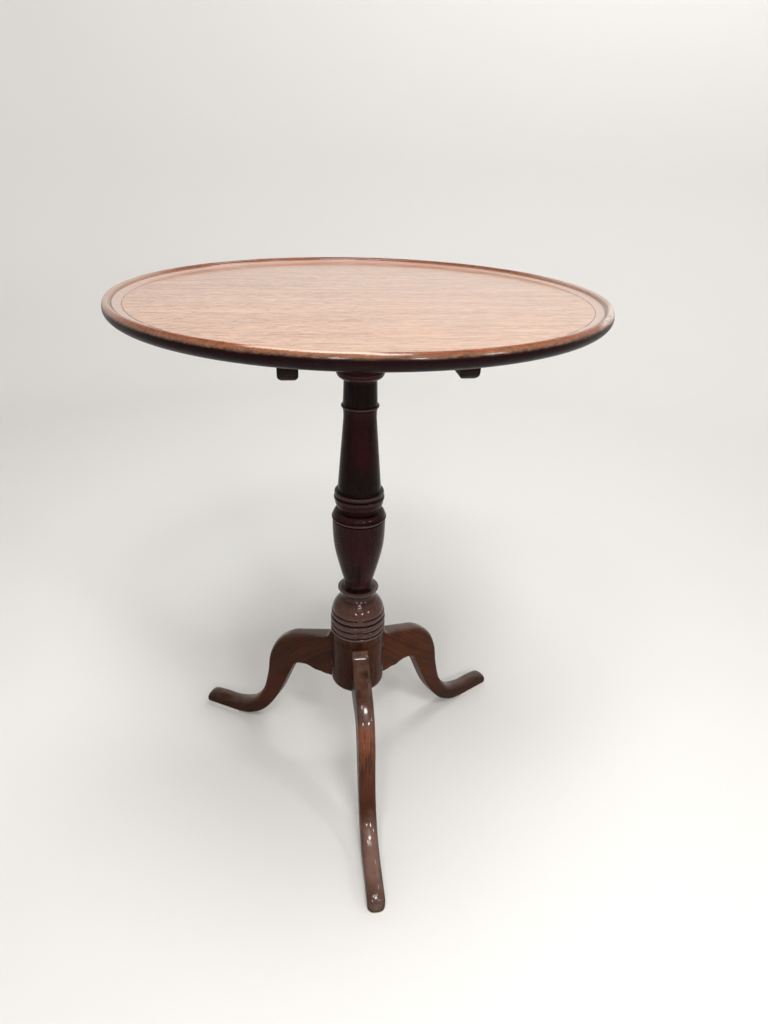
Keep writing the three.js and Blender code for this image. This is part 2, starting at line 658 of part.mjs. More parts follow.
// The brace: a hub with an arm under each leg, its end round
function buildBrace() {
  const armEnd = legShoulder + brace.armPastDrum;
  const half = brace.armWidth / 2;
  const roundEnd = arc([armEnd - half, 0], half, half, -Math.PI / 2, Math.PI / 2, 8);
  const arm = upright([[0, -half], ...roundEnd, [0, half]], braceUnderside, brace.thickness);
  let body = turned([
    [0, braceUnderside], [brace.hubRadius, braceUnderside],
    [brace.hubRadius, braceUnderside + brace.thickness], [0, braceUnderside + brace.thickness],
  ], turnedSides);
  const hole = screwHole(braceScrew, braceScrewLength).translate([0, 0, braceUnderside]);
  for (const index of legNames.keys()) {
    const angle = THREE.MathUtils.radToDeg(frontLegAngle - index * legStep);
    body = body.add(arm.rotate([0, 0, angle]));
    for (const along of braceScrewPlaces()) {
      body = body.subtract(hole.translate([along, 0, 0]).rotate([0, 0, angle]));
    }
  }
  body = body.subtract(hole);
  place(baseGroup, 'base_brace', body, iron);
  place(baseGroup, 'brace_screw_centre', screw(braceScrew, braceScrewLength), steel, [0, 0, braceUnderside]);
}

// The catch: a plate, two guides, a bolt with its knob, and a leaf spring that rubs on the bolt
function buildCatch() {
  let plate = box(catchPlate.width, catchPlate.length, catchPlate.thickness,
    [0, plateEnd - catchPlate.length / 2, plateUnderside + catchPlate.thickness / 2]);
  for (const item of catchScrews) {
    plate = plate.subtract(screwHole(brassScrew, catchScrewLength).translate(item.at));
    place(topGroup, item.name, screw(brassScrew, catchScrewLength), brass, item.at);
  }
  place(topGroup, 'catch_plate', plate, brass);

  const inner = bolt.width / 2 + guide.slideGap;
  const footTop = plateUnderside - seatGap;
  const crown = boltUnderside - guide.slideGap - guide.thickness;
  const footEnd = guideHalfSpan + guide.footWidth;
  const rightHalf = [
    [guideHalfSpan, crown], [guideHalfSpan, guideFootUnderside], [footEnd, guideFootUnderside],
    [footEnd, footTop], [inner, footTop], [inner, crown + guide.thickness],
  ];
  const leftHalf = [...rightHalf].reverse().map(([x, z]) => [-x, z]);
  const section = shapeOf([...rightHalf, ...leftHalf]);
  for (const [index, y] of guidePlaces.entries()) {
    let body = alongY(section, guide.length).translate([0, y, 0]);
    for (const item of catchScrews.filter((one) => one.at[1] === y)) {
      body = body.subtract(screwHole(brassScrew, catchScrewLength).translate(item.at));
    }
    place(topGroup, `catch_guide_${index === 0 ? 'rear' : 'front'}`, body, brass);
  }

  const knobPlace = boltTip - knobPlaceShare * bolt.length;
  const stemHole = turned([
    [0, boltUnderside - cutOverrun], [knob.stemRadius + seatGap, boltUnderside - cutOverrun],
    [knob.stemRadius + seatGap, boltTop + cutOverrun], [0, boltTop + cutOverrun],
  ], knob.sides).translate([0, knobPlace, 0]);
  const boltEnd = boltTip - bolt.length;
  const boltPlan = [
    [-bolt.width / 2, boltEnd], [bolt.width / 2, boltEnd], [bolt.width / 2, boltTip - bolt.tipChamfer],
    [bolt.width / 2 - bolt.tipChamfer, boltTip], [-bolt.width / 2 + bolt.tipChamfer, boltTip],
    [-bolt.width / 2, boltTip - bolt.tipChamfer],
  ];
  place(topGroup, 'catch_bolt', upright(boltPlan, boltUnderside, bolt.thickness).subtract(stemHole), brass);

  const knobNeck = boltUnderside - seatGap;
  const ball = knobNeck - knob.neckHeight - knob.height / 2;
  const knobProfile = [
    ...arc([0, ball], knob.radius, knob.height / 2, -Math.PI / 2, Math.PI / 3, 7),
    [knob.neckRadius, knobNeck - knob.stemRadius], [knob.neckRadius, knobNeck],
    [knob.stemRadius, knobNeck], [knob.stemRadius, boltTop], [0, boltTop],
  ];
  place(topGroup, 'catch_knob', turned(knobProfile, knob.sides), brass, [0, knobPlace, 0]);

  const springEndLevel = plateUnderside - seatGap;
  const springHalf = spring.length / 2;
  const upperLine = bend([-springHalf, springEndLevel], [0, springEndLevel - 2 * spring.bow],
    [springHalf, springEndLevel], 6);
  const lowerLine = [...upperLine].reverse().map(([y, z]) => [y, z - spring.thickness]);
  const leaf = acrossX(shapeOf([...upperLine, ...lowerLine]), spring.width);
  place(topGroup, 'catch_spring', leaf.translate([0, knobPlace, 0]), steel);
}

buildBoard();
buildBattens();
buildBlock();
buildStrike();
buildColumn();
buildLegs();
buildBrace();
buildCatch();

export default table;
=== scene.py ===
"""Tilt top table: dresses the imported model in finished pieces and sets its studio.

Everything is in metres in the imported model's own frame: the origin is on the floor under the
column, +Z is up and the front leg points along -Y. Profiles and outlines are written in
millimetres, as the model's source has them, and MM turns them into metres.
"""
import math

import bmesh
import bpy
from mathutils import Matrix, Vector


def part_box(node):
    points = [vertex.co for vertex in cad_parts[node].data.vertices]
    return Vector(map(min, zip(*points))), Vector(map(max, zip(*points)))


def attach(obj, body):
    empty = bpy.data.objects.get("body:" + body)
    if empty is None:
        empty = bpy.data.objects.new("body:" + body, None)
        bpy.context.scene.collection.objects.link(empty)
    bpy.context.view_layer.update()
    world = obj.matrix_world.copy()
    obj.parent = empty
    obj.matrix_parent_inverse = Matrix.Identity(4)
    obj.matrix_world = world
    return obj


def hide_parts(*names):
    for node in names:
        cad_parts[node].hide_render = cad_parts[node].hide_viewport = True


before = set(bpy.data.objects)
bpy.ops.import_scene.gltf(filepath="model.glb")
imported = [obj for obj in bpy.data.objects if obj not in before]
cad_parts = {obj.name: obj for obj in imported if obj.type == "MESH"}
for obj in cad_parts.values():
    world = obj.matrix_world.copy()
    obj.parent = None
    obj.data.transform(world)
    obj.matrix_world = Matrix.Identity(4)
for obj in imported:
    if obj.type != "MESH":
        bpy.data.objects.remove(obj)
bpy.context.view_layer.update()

bl_info = {
    "name": "Tilt top table",
    "version": (1, 0, 0),
    "blender": (4, 5, 0),
    "location": "3D View > Sidebar > Tilt top table",
    "description": "Dresses the packed tilt top table in finished pieces and sets its studio",
    "category": "Object",
}

MM = 0.001

LEG_TURNS = {"front": -90.0, "left": 150.0, "right": 30.0}
# How warm a leg's root is, and how much wear and painted sheen it shows
LEG_SHADES = {"front": (0.2, 0.75), "left": (0.25, 0.1), "right": (0.95, 0.1)}


def tone(*levels):
    """A screen colour, from 0 to 255, as the linear colour that a shader takes."""
    parts = [level / 255 for level in levels]
    return (*(part / 12.92 if part <= 0.04045 else ((part + 0.055) / 1.055) ** 2.4
              for part in parts), 1.0)


def rotation(degrees, axis):
    """A turn about an axis."""
    return Matrix.Rotation(math.radians(degrees), 4, axis)


# What a user would change

def number(name, description, default, least=0.0, **kind):
    """A setting that is a number."""
    return bpy.props.FloatProperty(
        name=name, description=description, default=default, min=least, **kind)


def length(name, description, default):
    """A size in metres."""
    return number(name, description, default, precision=5, subtype="DISTANCE", unit="LENGTH")


def share(name, description, default):
    """A share from nothing to all."""
    return number(name, description, default, max=1.0, subtype="FACTOR")


def colour(name, description, *levels):
    """A colour, from its three screen levels."""
    return bpy.props.FloatVectorProperty(
        name=name, description=description, default=tone(*levels), size=4, min=0.0, max=1.0,
        subtype="COLOR")


def count(name, description, default, least=8):
    """A whole number."""
    return bpy.props.IntProperty(name=name, description=description, default=default, min=least)


class BoardLook(bpy.types.PropertyGroup):
    """The round board."""

    sides: count("Sides", "Faces round the board's edge", 480)
    wear: length("Wear", "How far the worn crest stands in from its line", 0.00025)
    polish: share("Polish", "Weight of the clear coat", 1.0)
    field: colour("Field", "The flat middle", 202, 160, 132)
    field_dark: colour("Field grain", "The darker grain of the middle", 150, 108, 86)
    cove: colour("Cove", "The hollow inside the crest", 170, 142, 133)
    crest: colour("Crest", "The worn top of the edge", 134, 78, 50)
    # The roll's near-black colour is painted shade, for the shade under the edge's curve.
    roll: colour("Roll", "The lower half of the edge", 22, 4, 6)
    end_grain: colour("End grain", "The crest across the grain", 186, 158, 140)
    under: colour("Underside", "The unpolished underside", 92, 60, 42)


class StandLook(bpy.types.PropertyGroup):
    """The column, the legs, the battens and the block."""

    sides: count("Sides", "Faces round the column", 144)
    polish: share("Polish", "Weight of the clear coat", 0.25)
    column: colour("Column", "The polished column", 42, 9, 12)
    column_grain: colour("Column grain", "The column's darker grain", 20, 5, 6)
    # The rings and the dome are painted lighter than the column above them: a painted sheen.
    turnings_sheen: colour("Turnings", "The rings and the dome under the urn", 86, 58, 50)
    drum: colour("Drum", "The column's plain foot", 52, 23, 9)
    leg: colour("Leg", "The legs", 56, 30, 17)
    leg_grain: colour("Leg grain", "The legs' darker grain", 38, 19, 11)
    warm: colour("Warm wood", "The legs where the polish is thin", 82, 37, 3)
    batten: colour("Batten", "The battens", 24, 13, 12)
    block: colour("Block", "The block and the wedge", 96, 62, 42)
    felt: colour("Felt", "The pads under the feet", 232, 224, 212)
    leg_corner: length("Leg corner", "Radius of a leg's lower edges", 0.002)


class MetalLook(bpy.types.PropertyGroup):
    """The catch, the brace and the screws."""

    brass: colour("Brass", "The catch", 186, 150, 92)
    brass_dark: colour("Brass tarnish", "The catch where it isn't rubbed", 120, 92, 54)
    iron: colour("Iron", "The brace", 58, 52, 48)
    rust: colour("Rust", "The brace's rust", 104, 62, 38)
    steel: colour("Steel", "The steel screws and the spring", 132, 126, 118)
    edge: length("Edge", "Width of the broken edges", 0.0003)
    sides: count("Sides", "Faces round a screw and a knob", 32)
    seed: count("Seed", "Sets how far each screw is turned", 7, 0)


class StudioLook(bpy.types.PropertyGroup):
    """The floor, the lamps and the camera."""

    floor: colour("Floor", "The floor and the wall", 222, 221, 219)
    sky: number("Sky", "Strength of the light from all round", 0.05)
    key: number("Key lamp", "Power of the lamp overhead", 29.0, subtype="POWER")
    lens: number("Lens", "Focal length of the camera", 24.508, 1.0, unit="CAMERA")


# Nodes

class Flow:
    """A socket that carries a value, with arithmetic that adds the Math nodes behind it."""

    def __init__(self, graph, socket):
        self.graph = graph
        self.socket = socket

    def math(self, operation, first, second):
        """One Math node."""
        return self.graph.node("ShaderNodeMath", {0: first, 1: second}, operation=operation)

    def __add__(self, other):
        return self.math("ADD", self, other)

    def __sub__(self, other):
        return self.math("SUBTRACT", self, other)

    def __rsub__(self, other):
        return self.math("SUBTRACT", other, self)

    def __mul__(self, other):
        return self.math("MULTIPLY", self, other)

    __radd__ = __add__
    __rmul__ = __mul__

    def fade(self, none, full):
        """Smoothly from 0 at one value to 1 at the other, which may be the lower one."""
        return self.graph.node(
            "ShaderNodeMapRange", {"Value": self, "From Min": none, "From Max": full},
            interpolation_type="SMOOTHSTEP")

    def band(self, low, high, soft):
        """1 between two values, with soft ends."""
        return self.fade(low - soft, low + soft) * self.fade(high + soft, high - soft)


class Graph:
    """A node tree, and the one way in which its nodes are made."""

    def __init__(self, tree, material=None):
        self.tree = tree
        self.material = material

    def node(self, kind, sockets=None, output=0, **settings):
        """Adds a node: first its settings, then the values or links of its sockets."""
        made = self.tree.nodes.new(kind)
        for name, value in settings.items():
            setattr(made, name, value)
        for name, value in (sockets or {}).items():
            socket = self.pick(made.inputs, name)
            if isinstance(value, Flow):
                self.tree.links.new(value.socket, socket)
            else:
                socket.default_value = value
        return Flow(self, self.pick(made.outputs, output)) if made.outputs else None

    @staticmethod
    def pick(sockets, name):
        """A socket by its number, or by its name among those in use."""
        if isinstance(name, int):
            return sockets[name]
        return next(one for one in sockets if one.name == name and one.enabled)

    def vector(self, operation, first, second=(0.0, 0.0, 0.0), output="Vector"):
        """One Vector Math node."""
        return self.node("ShaderNodeVectorMath", {0: first, 1: second}, output,
                         operation=operation)

    def mix(self, factor, first, second):
        """A colour between two."""
        return self.node("ShaderNodeMix", {"Factor": factor, "A": first, "B": second}, "Result",
                         data_type="RGBA")

    def layers(self, base, *coats):
        """Colours laid over a base one after another, each as strongly as its factor says."""
        for factor, colour_over in coats:
            base = self.mix(factor, base, colour_over)
        return base

    def noise(self, place, scale, detail=3.0, rough=0.5):
        """Noise from 0 to 1, with a number of waves per millimetre along each axis."""
        return self.node(
            "ShaderNodeTexNoise", {"Vector": self.vector("MULTIPLY", place, scale), "Scale": 1.0,
                                   "Detail": detail, "Roughness": rough})

    def place(self, turn=Matrix.Identity(4)):
        """Object coordinates in millimetres, turned so that the grain runs along x."""
        source = self.node("ShaderNodeTexCoord", output="Object")
        return self.node("ShaderNodeMapping", {"Vector": source, "Rotation": turn.to_euler(),
                                               "Scale": (1 / MM, 1 / MM, 1 / MM)})

    def reach(self, place):
        """The distance from the Z axis."""
        flat = self.vector("MULTIPLY", place, (1.0, 1.0, 0.0))
        return self.vector("LENGTH", flat, output="Value")

    def axis(self, place, name):
        """One of a place's three numbers."""
        return self.node("ShaderNodeSeparateXYZ", {"Vector": place}, name)

    def mark(self, name):
        """A number that the mesh stores at its points."""
        return self.node("ShaderNodeAttribute", output="Fac", attribute_name=name)

    def surface(self, base, rough, height, distance, strength, others=None):
        """Ends a material in one surface shader, with a bump over a distance in metres."""
        normal = self.node("ShaderNodeBump", {"Height": height, "Distance": distance,
                                              "Strength": strength}, "Normal")
        shader = self.node(
            "ShaderNodeBsdfPrincipled",
            {"Base Color": base, "Roughness": rough, "Normal": normal, **(others or {})}, "BSDF")
        self.node("ShaderNodeOutputMaterial", {"Surface": shader})
        return self.material


def start_material(name):
    """A new material's empty graph."""
    material = bpy.data.materials.new(name)
    material.use_nodes = True
    material.node_tree.nodes.clear()
    return Graph(material.node_tree, material)


# Woods

UPRIGHT_GRAIN = rotation(90, "Y")
LENGTHWISE_GRAIN = rotation(-90, "Z")
LEG_SLOPE = 40.0

# Where the board's edge is worn to its fibres, where a painted highlight runs along its crest,
# and where it is nicked: a side, and the distances towards it at which that starts and is full
WORN_EDGE = ((0.891, -0.454, 0.0), 268.0, 274.0)
PAINTED_HIGHLIGHT_EDGE = ((-0.24, -0.971, 0.0), 269.0, 274.0)
NICKED_EDGE = ((0.643, -0.766, 0.0), 278.6, 279.3)


def timber(graph, place):
    """The grain of a wood: its broad figure, its streaks, its open pores and its fibres."""
    drift = graph.noise(place, (0.004, 0.011, 0.011), 2.0)
    bent = graph.vector("ADD", place, graph.node(
        "ShaderNodeCombineXYZ", {"Y": drift * 26.0, "Z": drift * 22.0}))
    figure = graph.noise(bent, (0.0045, 0.05, 0.05), 3.0, 0.55)
    streaks = graph.noise(bent, (0.012, 0.42, 0.42), 4.0, 0.62)
    pores = graph.noise(bent, (0.085, 1.5, 1.5), 2.0, 0.6).fade(0.6, 0.72)
    fibres = graph.noise(bent, (0.16, 3.6, 3.6), 2.0, 0.6)
    return figure, streaks, pores, fibres


def board_wood(look):
    """The board: worn polish on its field, cove, crest and roll, painted shade on the roll, a
    painted highlight on the near crest, and a dull underside.
    """
    graph = start_material("board_wood")
    place = graph.place()
    figure, streaks, pores, fibres = timber(graph, place)
    reach = graph.reach(place)
    across, depth, level = (graph.axis(place, name) for name in "XYZ")
    smudge = graph.noise(place, (0.014, 0.02, 0.02), 4.0, 0.6)
    speckle = graph.noise(place, (0.7, 0.7, 0.7), 3.0, 0.75)
    ragged = graph.noise(place, (0.1, 0.1, 0.2), 4.0, 0.7)
    dashes = graph.noise(place, (0.055, 0.9, 0.9), 3.0, 0.6)
    flecks = graph.noise(place, (0.1, 0.45, 0.45), 3.0, 0.7)
    gaps = graph.noise(place, (0.05, 0.05, 0.05))

    above = level.fade(698.0, 700.0)
    outside = (reach - level.fade(699.0, 702.0) * 10.5).fade(262.5, 265.5)
    roll = outside * (level + ragged * 1.8 + streaks * 2.2).fade(711.2, 705.6)
    under = level.fade(694.5, 692.0) * (1.0 - outside)
    crest = reach.fade(271.1, 271.9) * (1.0 - roll)
    cove = reach.band(260.4, 269.5, 0.4) * above
    line = reach.band(259.2, 260.4, 0.3) * above
    quirk = reach.band(269.4, 271.3, 0.4) * above
    worn, bright, nick = (
        graph.vector("DOT_PRODUCT", place, side, "Value").fade(start, full) * crest
        for side, start, full in (WORN_EDGE, PAINTED_HIGHLIGHT_EDGE, NICKED_EDGE))

    grain = (figure * 0.25 + streaks * 0.35 + dashes * 0.4).fade(0.36, 0.66)
    end = graph.node("ShaderNodeMath", {0: across}, operation="ABSOLUTE").fade(215.0, 278.0)
    edge = graph.layers(
        graph.mix(streaks.fade(0.4, 0.62), tone(108, 60, 38), look.crest[:]),
        (end * 0.7, look.end_grain[:]),
        (speckle.fade(0.5, 0.66) * 0.6, tone(76, 36, 22)))
    base = graph.layers(
        graph.mix(grain, look.field_dark[:], look.field[:]),
        (dashes.fade(0.45, 0.62) * 0.35, tone(216, 176, 142)),
        (smudge.fade(0.45, 0.75) * 0.3, tone(206, 160, 126)),
        # Dark flecks in the grain, fewer towards +X so the field is paler on its right: partly a
        # painted glare.
        (flecks.fade(0.52, 0.66) * (0.9 - across.fade(-260.0, 160.0) * 0.5), tone(132, 90, 68)),
        (pores * 0.45, tone(92, 54, 38)),
        # Warmer towards the far (+Y) side of the field: a painted reflection of the far crest.
        (depth.fade(185.0, 262.0) * 0.45, tone(168, 98, 58)),
        (cove * (0.85 - dashes.fade(0.46, 0.6) * 0.45), look.cove[:]),
        (line * gaps.fade(0.35, 0.5) * 0.75, tone(82, 46, 36)),
        (quirk * 0.85, tone(74, 50, 42)),
        (crest, edge),
        (worn * (speckle + streaks).fade(0.8, 1.05) * 0.8, tone(220, 204, 192)),
        (worn * speckle.fade(0.54, 0.6) * 0.7, tone(84, 66, 60)),
        # A painted highlight along the top of the near crest, broken up by speckle.
        (bright * (level + speckle * 2.4).fade(709.6, 710.6) * 0.6, tone(228, 200, 178)),
        (nick * ragged.fade(0.4, 0.5), tone(40, 20, 16)),
        # The roll, the lower half of the edge, takes its painted shade here.
        (roll, graph.mix(speckle.fade(0.62, 0.72) * 0.15, look.roll[:], tone(80, 40, 28))),
        (under, graph.mix(grain * 0.7, look.under[:], tone(70, 44, 30))))

    rough = (0.3 + smudge.fade(0.3, 0.7) * 0.08 + pores * 0.12
             + speckle.fade(0.5, 0.7) * crest * 0.25 + under * 0.36)
    height = (fibres * 0.12 + streaks * 0.2 + (1.0 - pores) * 0.35
              + ragged * crest * 1.6 + speckle * crest * 0.5 + nick * -3.0)
    shine = (1.0 - under) * (1.0 - roll * 0.92) * (1.0 - speckle.fade(0.46, 0.58) * crest * 0.75)
    return graph.surface(base, rough, height, 0.0004, 0.4, {
        "Coat Weight": shine * look.polish, "Coat Roughness": 0.15, "Specular IOR Level": 0.05})


def polished_wood(name, turn, light, dark, look, shine, extra=None):
    """A dark polished wood with its grain along the turned x axis."""
    graph = start_material(name)
    place = graph.place(turn)
    figure, streaks, pores, fibres = timber(graph, place)
    smudge = graph.noise(place, (0.02, 0.03, 0.03), 3.0, 0.6)
    base = graph.mix((figure * 0.5 + streaks * 0.5).fade(0.36, 0.66), dark, light)
    gloss = 0.5
    if extra:
        base, gloss = extra(graph, base, streaks)
    base = graph.mix(pores * 0.4, base, tone(18, 8, 7))
    rough = shine + smudge.fade(0.3, 0.7) * 0.1 + pores * 0.15
    height = fibres * 0.2 + streaks * 0.4 + (1.0 - pores) * 0.4
    return graph.surface(base, rough, height, 0.0003, 0.3, {
        "Coat Weight": gloss * look.polish, "Coat Roughness": 0.12, "Specular IOR Level": 0.05,
        "Specular Tint": tone(236, 196, 186)})


def column_wood(look):
    """The column: nearly black with polish, and browner on its plain foot. Its rings and dome are
    lighter with a painted sheen, its grooves hold painted shade, and its edges are paler with wear
    and a painted highlight.
    """
    def members(graph, base, streaks):
        place = graph.place()
        level = graph.axis(place, "Z")
        upright = graph.noise(place, (0.35, 0.35, 0.02), 4.0, 0.65)
        # A painted sheen: the dome and rings lighter than the column, the dome lighter than the
        # rings.
        turned = graph.layers(look.turnings_sheen[:],
                              (upright.fade(0.36, 0.66) * 0.45, tone(52, 32, 27)),
                              (level.fade(276.0, 268.0) * 0.5, tone(52, 32, 27)))
        foot = graph.layers(look.drum[:],
                            (graph.axis(place, "X").fade(-25.0, 25.0) * 0.7, tone(68, 30, 2)),
                            (upright.fade(0.42, 0.62) * 0.75, tone(32, 14, 7)))
        # Edges that stand out: paler with wear and a painted highlight.
        wear_and_sheen = graph.mark("rub").fade(0.12, 0.8)
        mixed = graph.layers(
            base,
            # The lower column takes the painted sheen of the rings and the dome.
            (level.fade(330.0, 296.0) * 0.85, turned),
            (level.fade(238.0, 234.0), foot),
            # Painted shade in the grooves.
            (graph.mark("hollow").fade(0.03, 0.5) * 0.9, tone(12, 6, 5)),
            # Paler edges: wear and a painted highlight.
            (wear_and_sheen * (0.3 - level.fade(330.0, 600.0) * 0.18), tone(118, 96, 90)))
        return mixed, 0.5 + level.band(236.0, 320.0, 4.0) * 1.3 + wear_and_sheen * 0.8
    return polished_wood("column_wood", UPRIGHT_GRAIN, look.column[:], look.column_grain[:], look,
                         0.2, members)


def leg_wood(look, name, warmth, wear_and_sheen):
    """A leg: warm where its polish is thin beside the column, redder down its shin, and paler on
    its rounded top with wear and a painted sheen.
    """
    def shades(graph, base, streaks):
        place = graph.place()
        reach = graph.reach(place)
        level = graph.axis(place, "Z")
        crown = graph.mark("crown")
        patchy = graph.noise(place, (0.03, 0.03, 0.03), 4.0, 0.6)
        strands = graph.noise(place, (0.6, 0.035, 0.035), 3.0, 0.65)
        root = reach.fade(165.0, 105.0) * patchy.fade(0.0, 0.6)
        # Paler on the rounded top and the ankle: partly wear and partly a painted sheen.
        ankle = level.band(12.0, 44.0, 10.0) * reach.fade(268.0, 246.0)
        worn = (patchy.fade(0.3, 0.6) * (0.2 + wear_and_sheen * 0.5) + ankle * wear_and_sheen * 0.65) * crown
        ragged = level + patchy * 24.0
        patch = (ragged.fade(70.0, 172.0) * ragged.fade(192.0, 182.0)
                 * strands.fade(0.4, 0.6) * crown.fade(0.1, 0.6))
        mixed = graph.layers(
            base,
            (root * warmth,
             graph.mix(streaks.fade(0.4, 0.6), tone(52, 22, 3), look.warm[:])),
            (level.band(38.0, 112.0, 14.0) * 0.5, tone(72, 32, 15)),
            # Wear and painted sheen on the rounded top, leaving the knee to the lamp.
            (worn * (1.0 - reach.band(148.0, 172.0, 6.0)), tone(116, 88, 78)),
            (patch * wear_and_sheen, tone(132, 66, 28)))
        return mixed, 0.5 + crown * (2.5 - level.band(48.0, 150.0, 14.0) * 1.9)
    down_the_leg = rotation(-LEG_SLOPE, "Y") @ rotation(-LEG_TURNS[name], "Z")
    return polished_wood("leg_wood_" + name, down_the_leg, look.leg[:], look.leg_grain[:], look,
                         0.3, shades)


def block_wood(look):
    """The block and the wedge: plain wood, only stained."""
    graph = start_material("block_wood")
    figure, streaks, pores, fibres = timber(graph, graph.place(LENGTHWISE_GRAIN))
    grain = (figure * 0.5 + streaks * 0.5).fade(0.36, 0.64)
    base = graph.layers(tone(62, 36, 22), (grain, look.block[:]), (pores * 0.5, tone(34, 20, 14)))
    height = fibres * 0.4 + streaks * 0.4 + (1.0 - pores) * 0.4
    return graph.surface(base, 0.58 + streaks * 0.2, height, 0.0004, 0.5,
                         {"Specular IOR Level": 0.15})


def felt(look):
    """The pads: pale felt, with loose fibres."""
    graph = start_material("pale_felt")
    place = graph.place()
    fluff = graph.noise(place, (1.6, 1.6, 1.6), 4.0, 0.7)
    soil = graph.noise(place, (0.08, 0.08, 0.3))
    base = graph.layers(tone(216, 208, 196), (fluff.fade(0.35, 0.7), look.felt[:]),
                        (soil.fade(0.5, 0.8) * 0.5, tone(200, 190, 178)))
    return graph.surface(base, 0.85 + fluff * 0.1, fluff, 0.0006, 0.8)


# Metals

def brass_metal(look):
    """Old brass: dull with tarnish in patches, and rubbed bright in places."""
    graph = start_material("old_brass")
    place = graph.place()
    tarnish = graph.noise(place, (0.09, 0.09, 0.09), 5.0, 0.65)
    scratch = graph.noise(place, (1.8, 0.12, 0.6), 3.0, 0.6)
    dull = tarnish.fade(0.34, 0.72)
    base = graph.mix(dull, look.brass[:], look.brass_dark[:])
    return graph.surface(base, 0.26 + dull * 0.26 + scratch * 0.12,
                         scratch * 0.6 + tarnish * 0.4, 0.0002, 0.35, {"Metallic": 1.0})


def iron_metal(look):
    """Blackened iron, with a bloom of rust and hammer marks."""
    graph = start_material("black_iron")
    place = graph.place()
    rust = graph.noise(place, (0.07, 0.07, 0.07), 5.0, 0.7).fade(0.52, 0.72)
    pits = graph.noise(place, (0.5, 0.5, 0.5), 4.0, 0.65)
    dents = graph.node(
        "ShaderNodeTexVoronoi",
        {"Vector": graph.vector("MULTIPLY", place, (0.09, 0.09, 0.09)), "Scale": 1.0}, "Distance",
        feature="SMOOTH_F1")
    base = graph.mix(rust * 0.75, look.iron[:], look.rust[:])
    return graph.surface(base, 0.46 + rust * 0.3 + pits * 0.14, dents * 0.7 + pits * 0.3,
                         0.0008, 0.5, {"Metallic": 1.0 - rust * 0.8})


def steel_metal(look):
    """Old steel screws: grey, with brown spots and turning marks."""
    if "old_steel" in bpy.data.materials:
        return bpy.data.materials["old_steel"]
    graph = start_material("old_steel")
    place = graph.place()
    spots = graph.noise(place, (0.5, 0.5, 0.5), 4.0, 0.65).fade(0.5, 0.7)
    marks = graph.noise(place, (2.2, 2.2, 0.4), 3.0, 0.6)
    base = graph.mix(spots * 0.7, look.steel[:], tone(86, 58, 40))
    return graph.surface(base, 0.34 + spots * 0.3 + marks * 0.12, marks, 0.0002, 0.4,
                         {"Metallic": 1.0 - spots * 0.5})


# Lines and outlines, in millimetres

def arc(centre, across, up, start, end, steps):
    """Points on an ellipse about a centre, between two angles in degrees."""
    angles = [math.radians(start + (end - start) * step / steps) for step in range(steps + 1)]
    return [(centre[0] + across * math.cos(angle), centre[1] + up * math.sin(angle))
            for angle in angles]


def bead(bottom, height, foot, radius, steps=12):
    """A bulging member from one level up to the next, which stands out from a foot radius."""
    return arc((foot, bottom + height / 2), radius - foot, height / 2, -90, 90, steps)


def bend(start, control, end, steps=14):
    """A line from the start to the end that bends towards the control point."""
    return [tuple((1 - t) ** 2 * a + 2 * t * (1 - t) * b + t * t * c
                  for a, b, c in zip(start, control, end))
            for t in (step / steps for step in range(steps + 1))]


def spline(points, steps):
    """A smooth line through the points."""
    line = []
    padded = [points[0], *points, points[-1]]
    for before, low, high, after in zip(padded, points, points[1:], padded[3:]):
        for t in (step / steps for step in range(steps)):
            line.append(tuple(
                (2 * t ** 3 - 3 * t ** 2 + 1) * b + (t ** 3 - 2 * t ** 2 + t) * (c - a) / 2
                + (3 * t ** 2 - 2 * t ** 3) * c + (t ** 3 - t ** 2) * (d - b) / 2
                for a, b, c, d in zip(before, low, high, after)))
    return line + [points[-1]]


def trough(left, right, bottom, top, radius):
    """An outline with round lower corners."""
    return [(left, top), *arc((left + radius, bottom + radius), radius, radius, 180, 270, 12),
            *arc((right - radius, bottom + radius), radius, radius, 270, 360, 12), (right, top)]


def quarter(across, up, square, steps):
    """Points on a squared quarter ellipse, from its end across to its end upwards."""
    angles = [math.radians(90 * step / steps) for step in range(steps)]
    return [(across * math.cos(angle) ** (2 / square), up * math.sin(angle) ** (2 / square))
            for angle in angles] + [(0.0, up)]


# Meshes

def add_object(name, mesh):
    """A new object at the origin."""
    made = bpy.data.objects.new(name, mesh)
    bpy.context.scene.collection.objects.link(made)
    return made


def mesh_of(name, vertices, faces):
    """A mesh from places in millimetres."""
    mesh = bpy.data.meshes.new(name)
    mesh.from_pydata([tuple(value * MM for value in place) for place in vertices], [], faces)
    return mesh


def settle(piece):
    """Turns what a piece's modifiers make into its own mesh."""
    graph = bpy.context.evaluated_depsgraph_get()
    mesh = bpy.data.meshes.new_from_object(piece.evaluated_get(graph))
    piece.modifiers.clear()
    spent = piece.data
    piece.data = mesh
    bpy.data.meshes.remove(spent)


def tidy(mesh, angle=30.0):
    """Closes seams, points the faces outwards and smooths all but the sharp edges."""
    work = bmesh.new()
    work.from_mesh(mesh)
    bmesh.ops.remove_doubles(work, verts=work.verts, dist=1e-6)
    bmesh.ops.dissolve_degenerate(work, edges=work.edges, dist=1e-7)
    bmesh.ops.recalc_face_normals(work, faces=work.faces)
    work.to_mesh(mesh)
    work.free()
    mesh.shade_smooth()
    mesh.set_sharp_from_angle(angle=math.radians(angle))


def mark_points(mesh, name, values):
    """Stores a number at each of a mesh's points."""
    mesh.attributes.new(name, "FLOAT", "POINT").data.foreach_set("value", values)


def finish_piece(piece, material, body, slot, *nodes):
    """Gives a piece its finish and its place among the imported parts."""
    piece.data.materials.clear()
    piece.data.materials.append(material)
    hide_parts(*nodes)
    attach(piece, body)


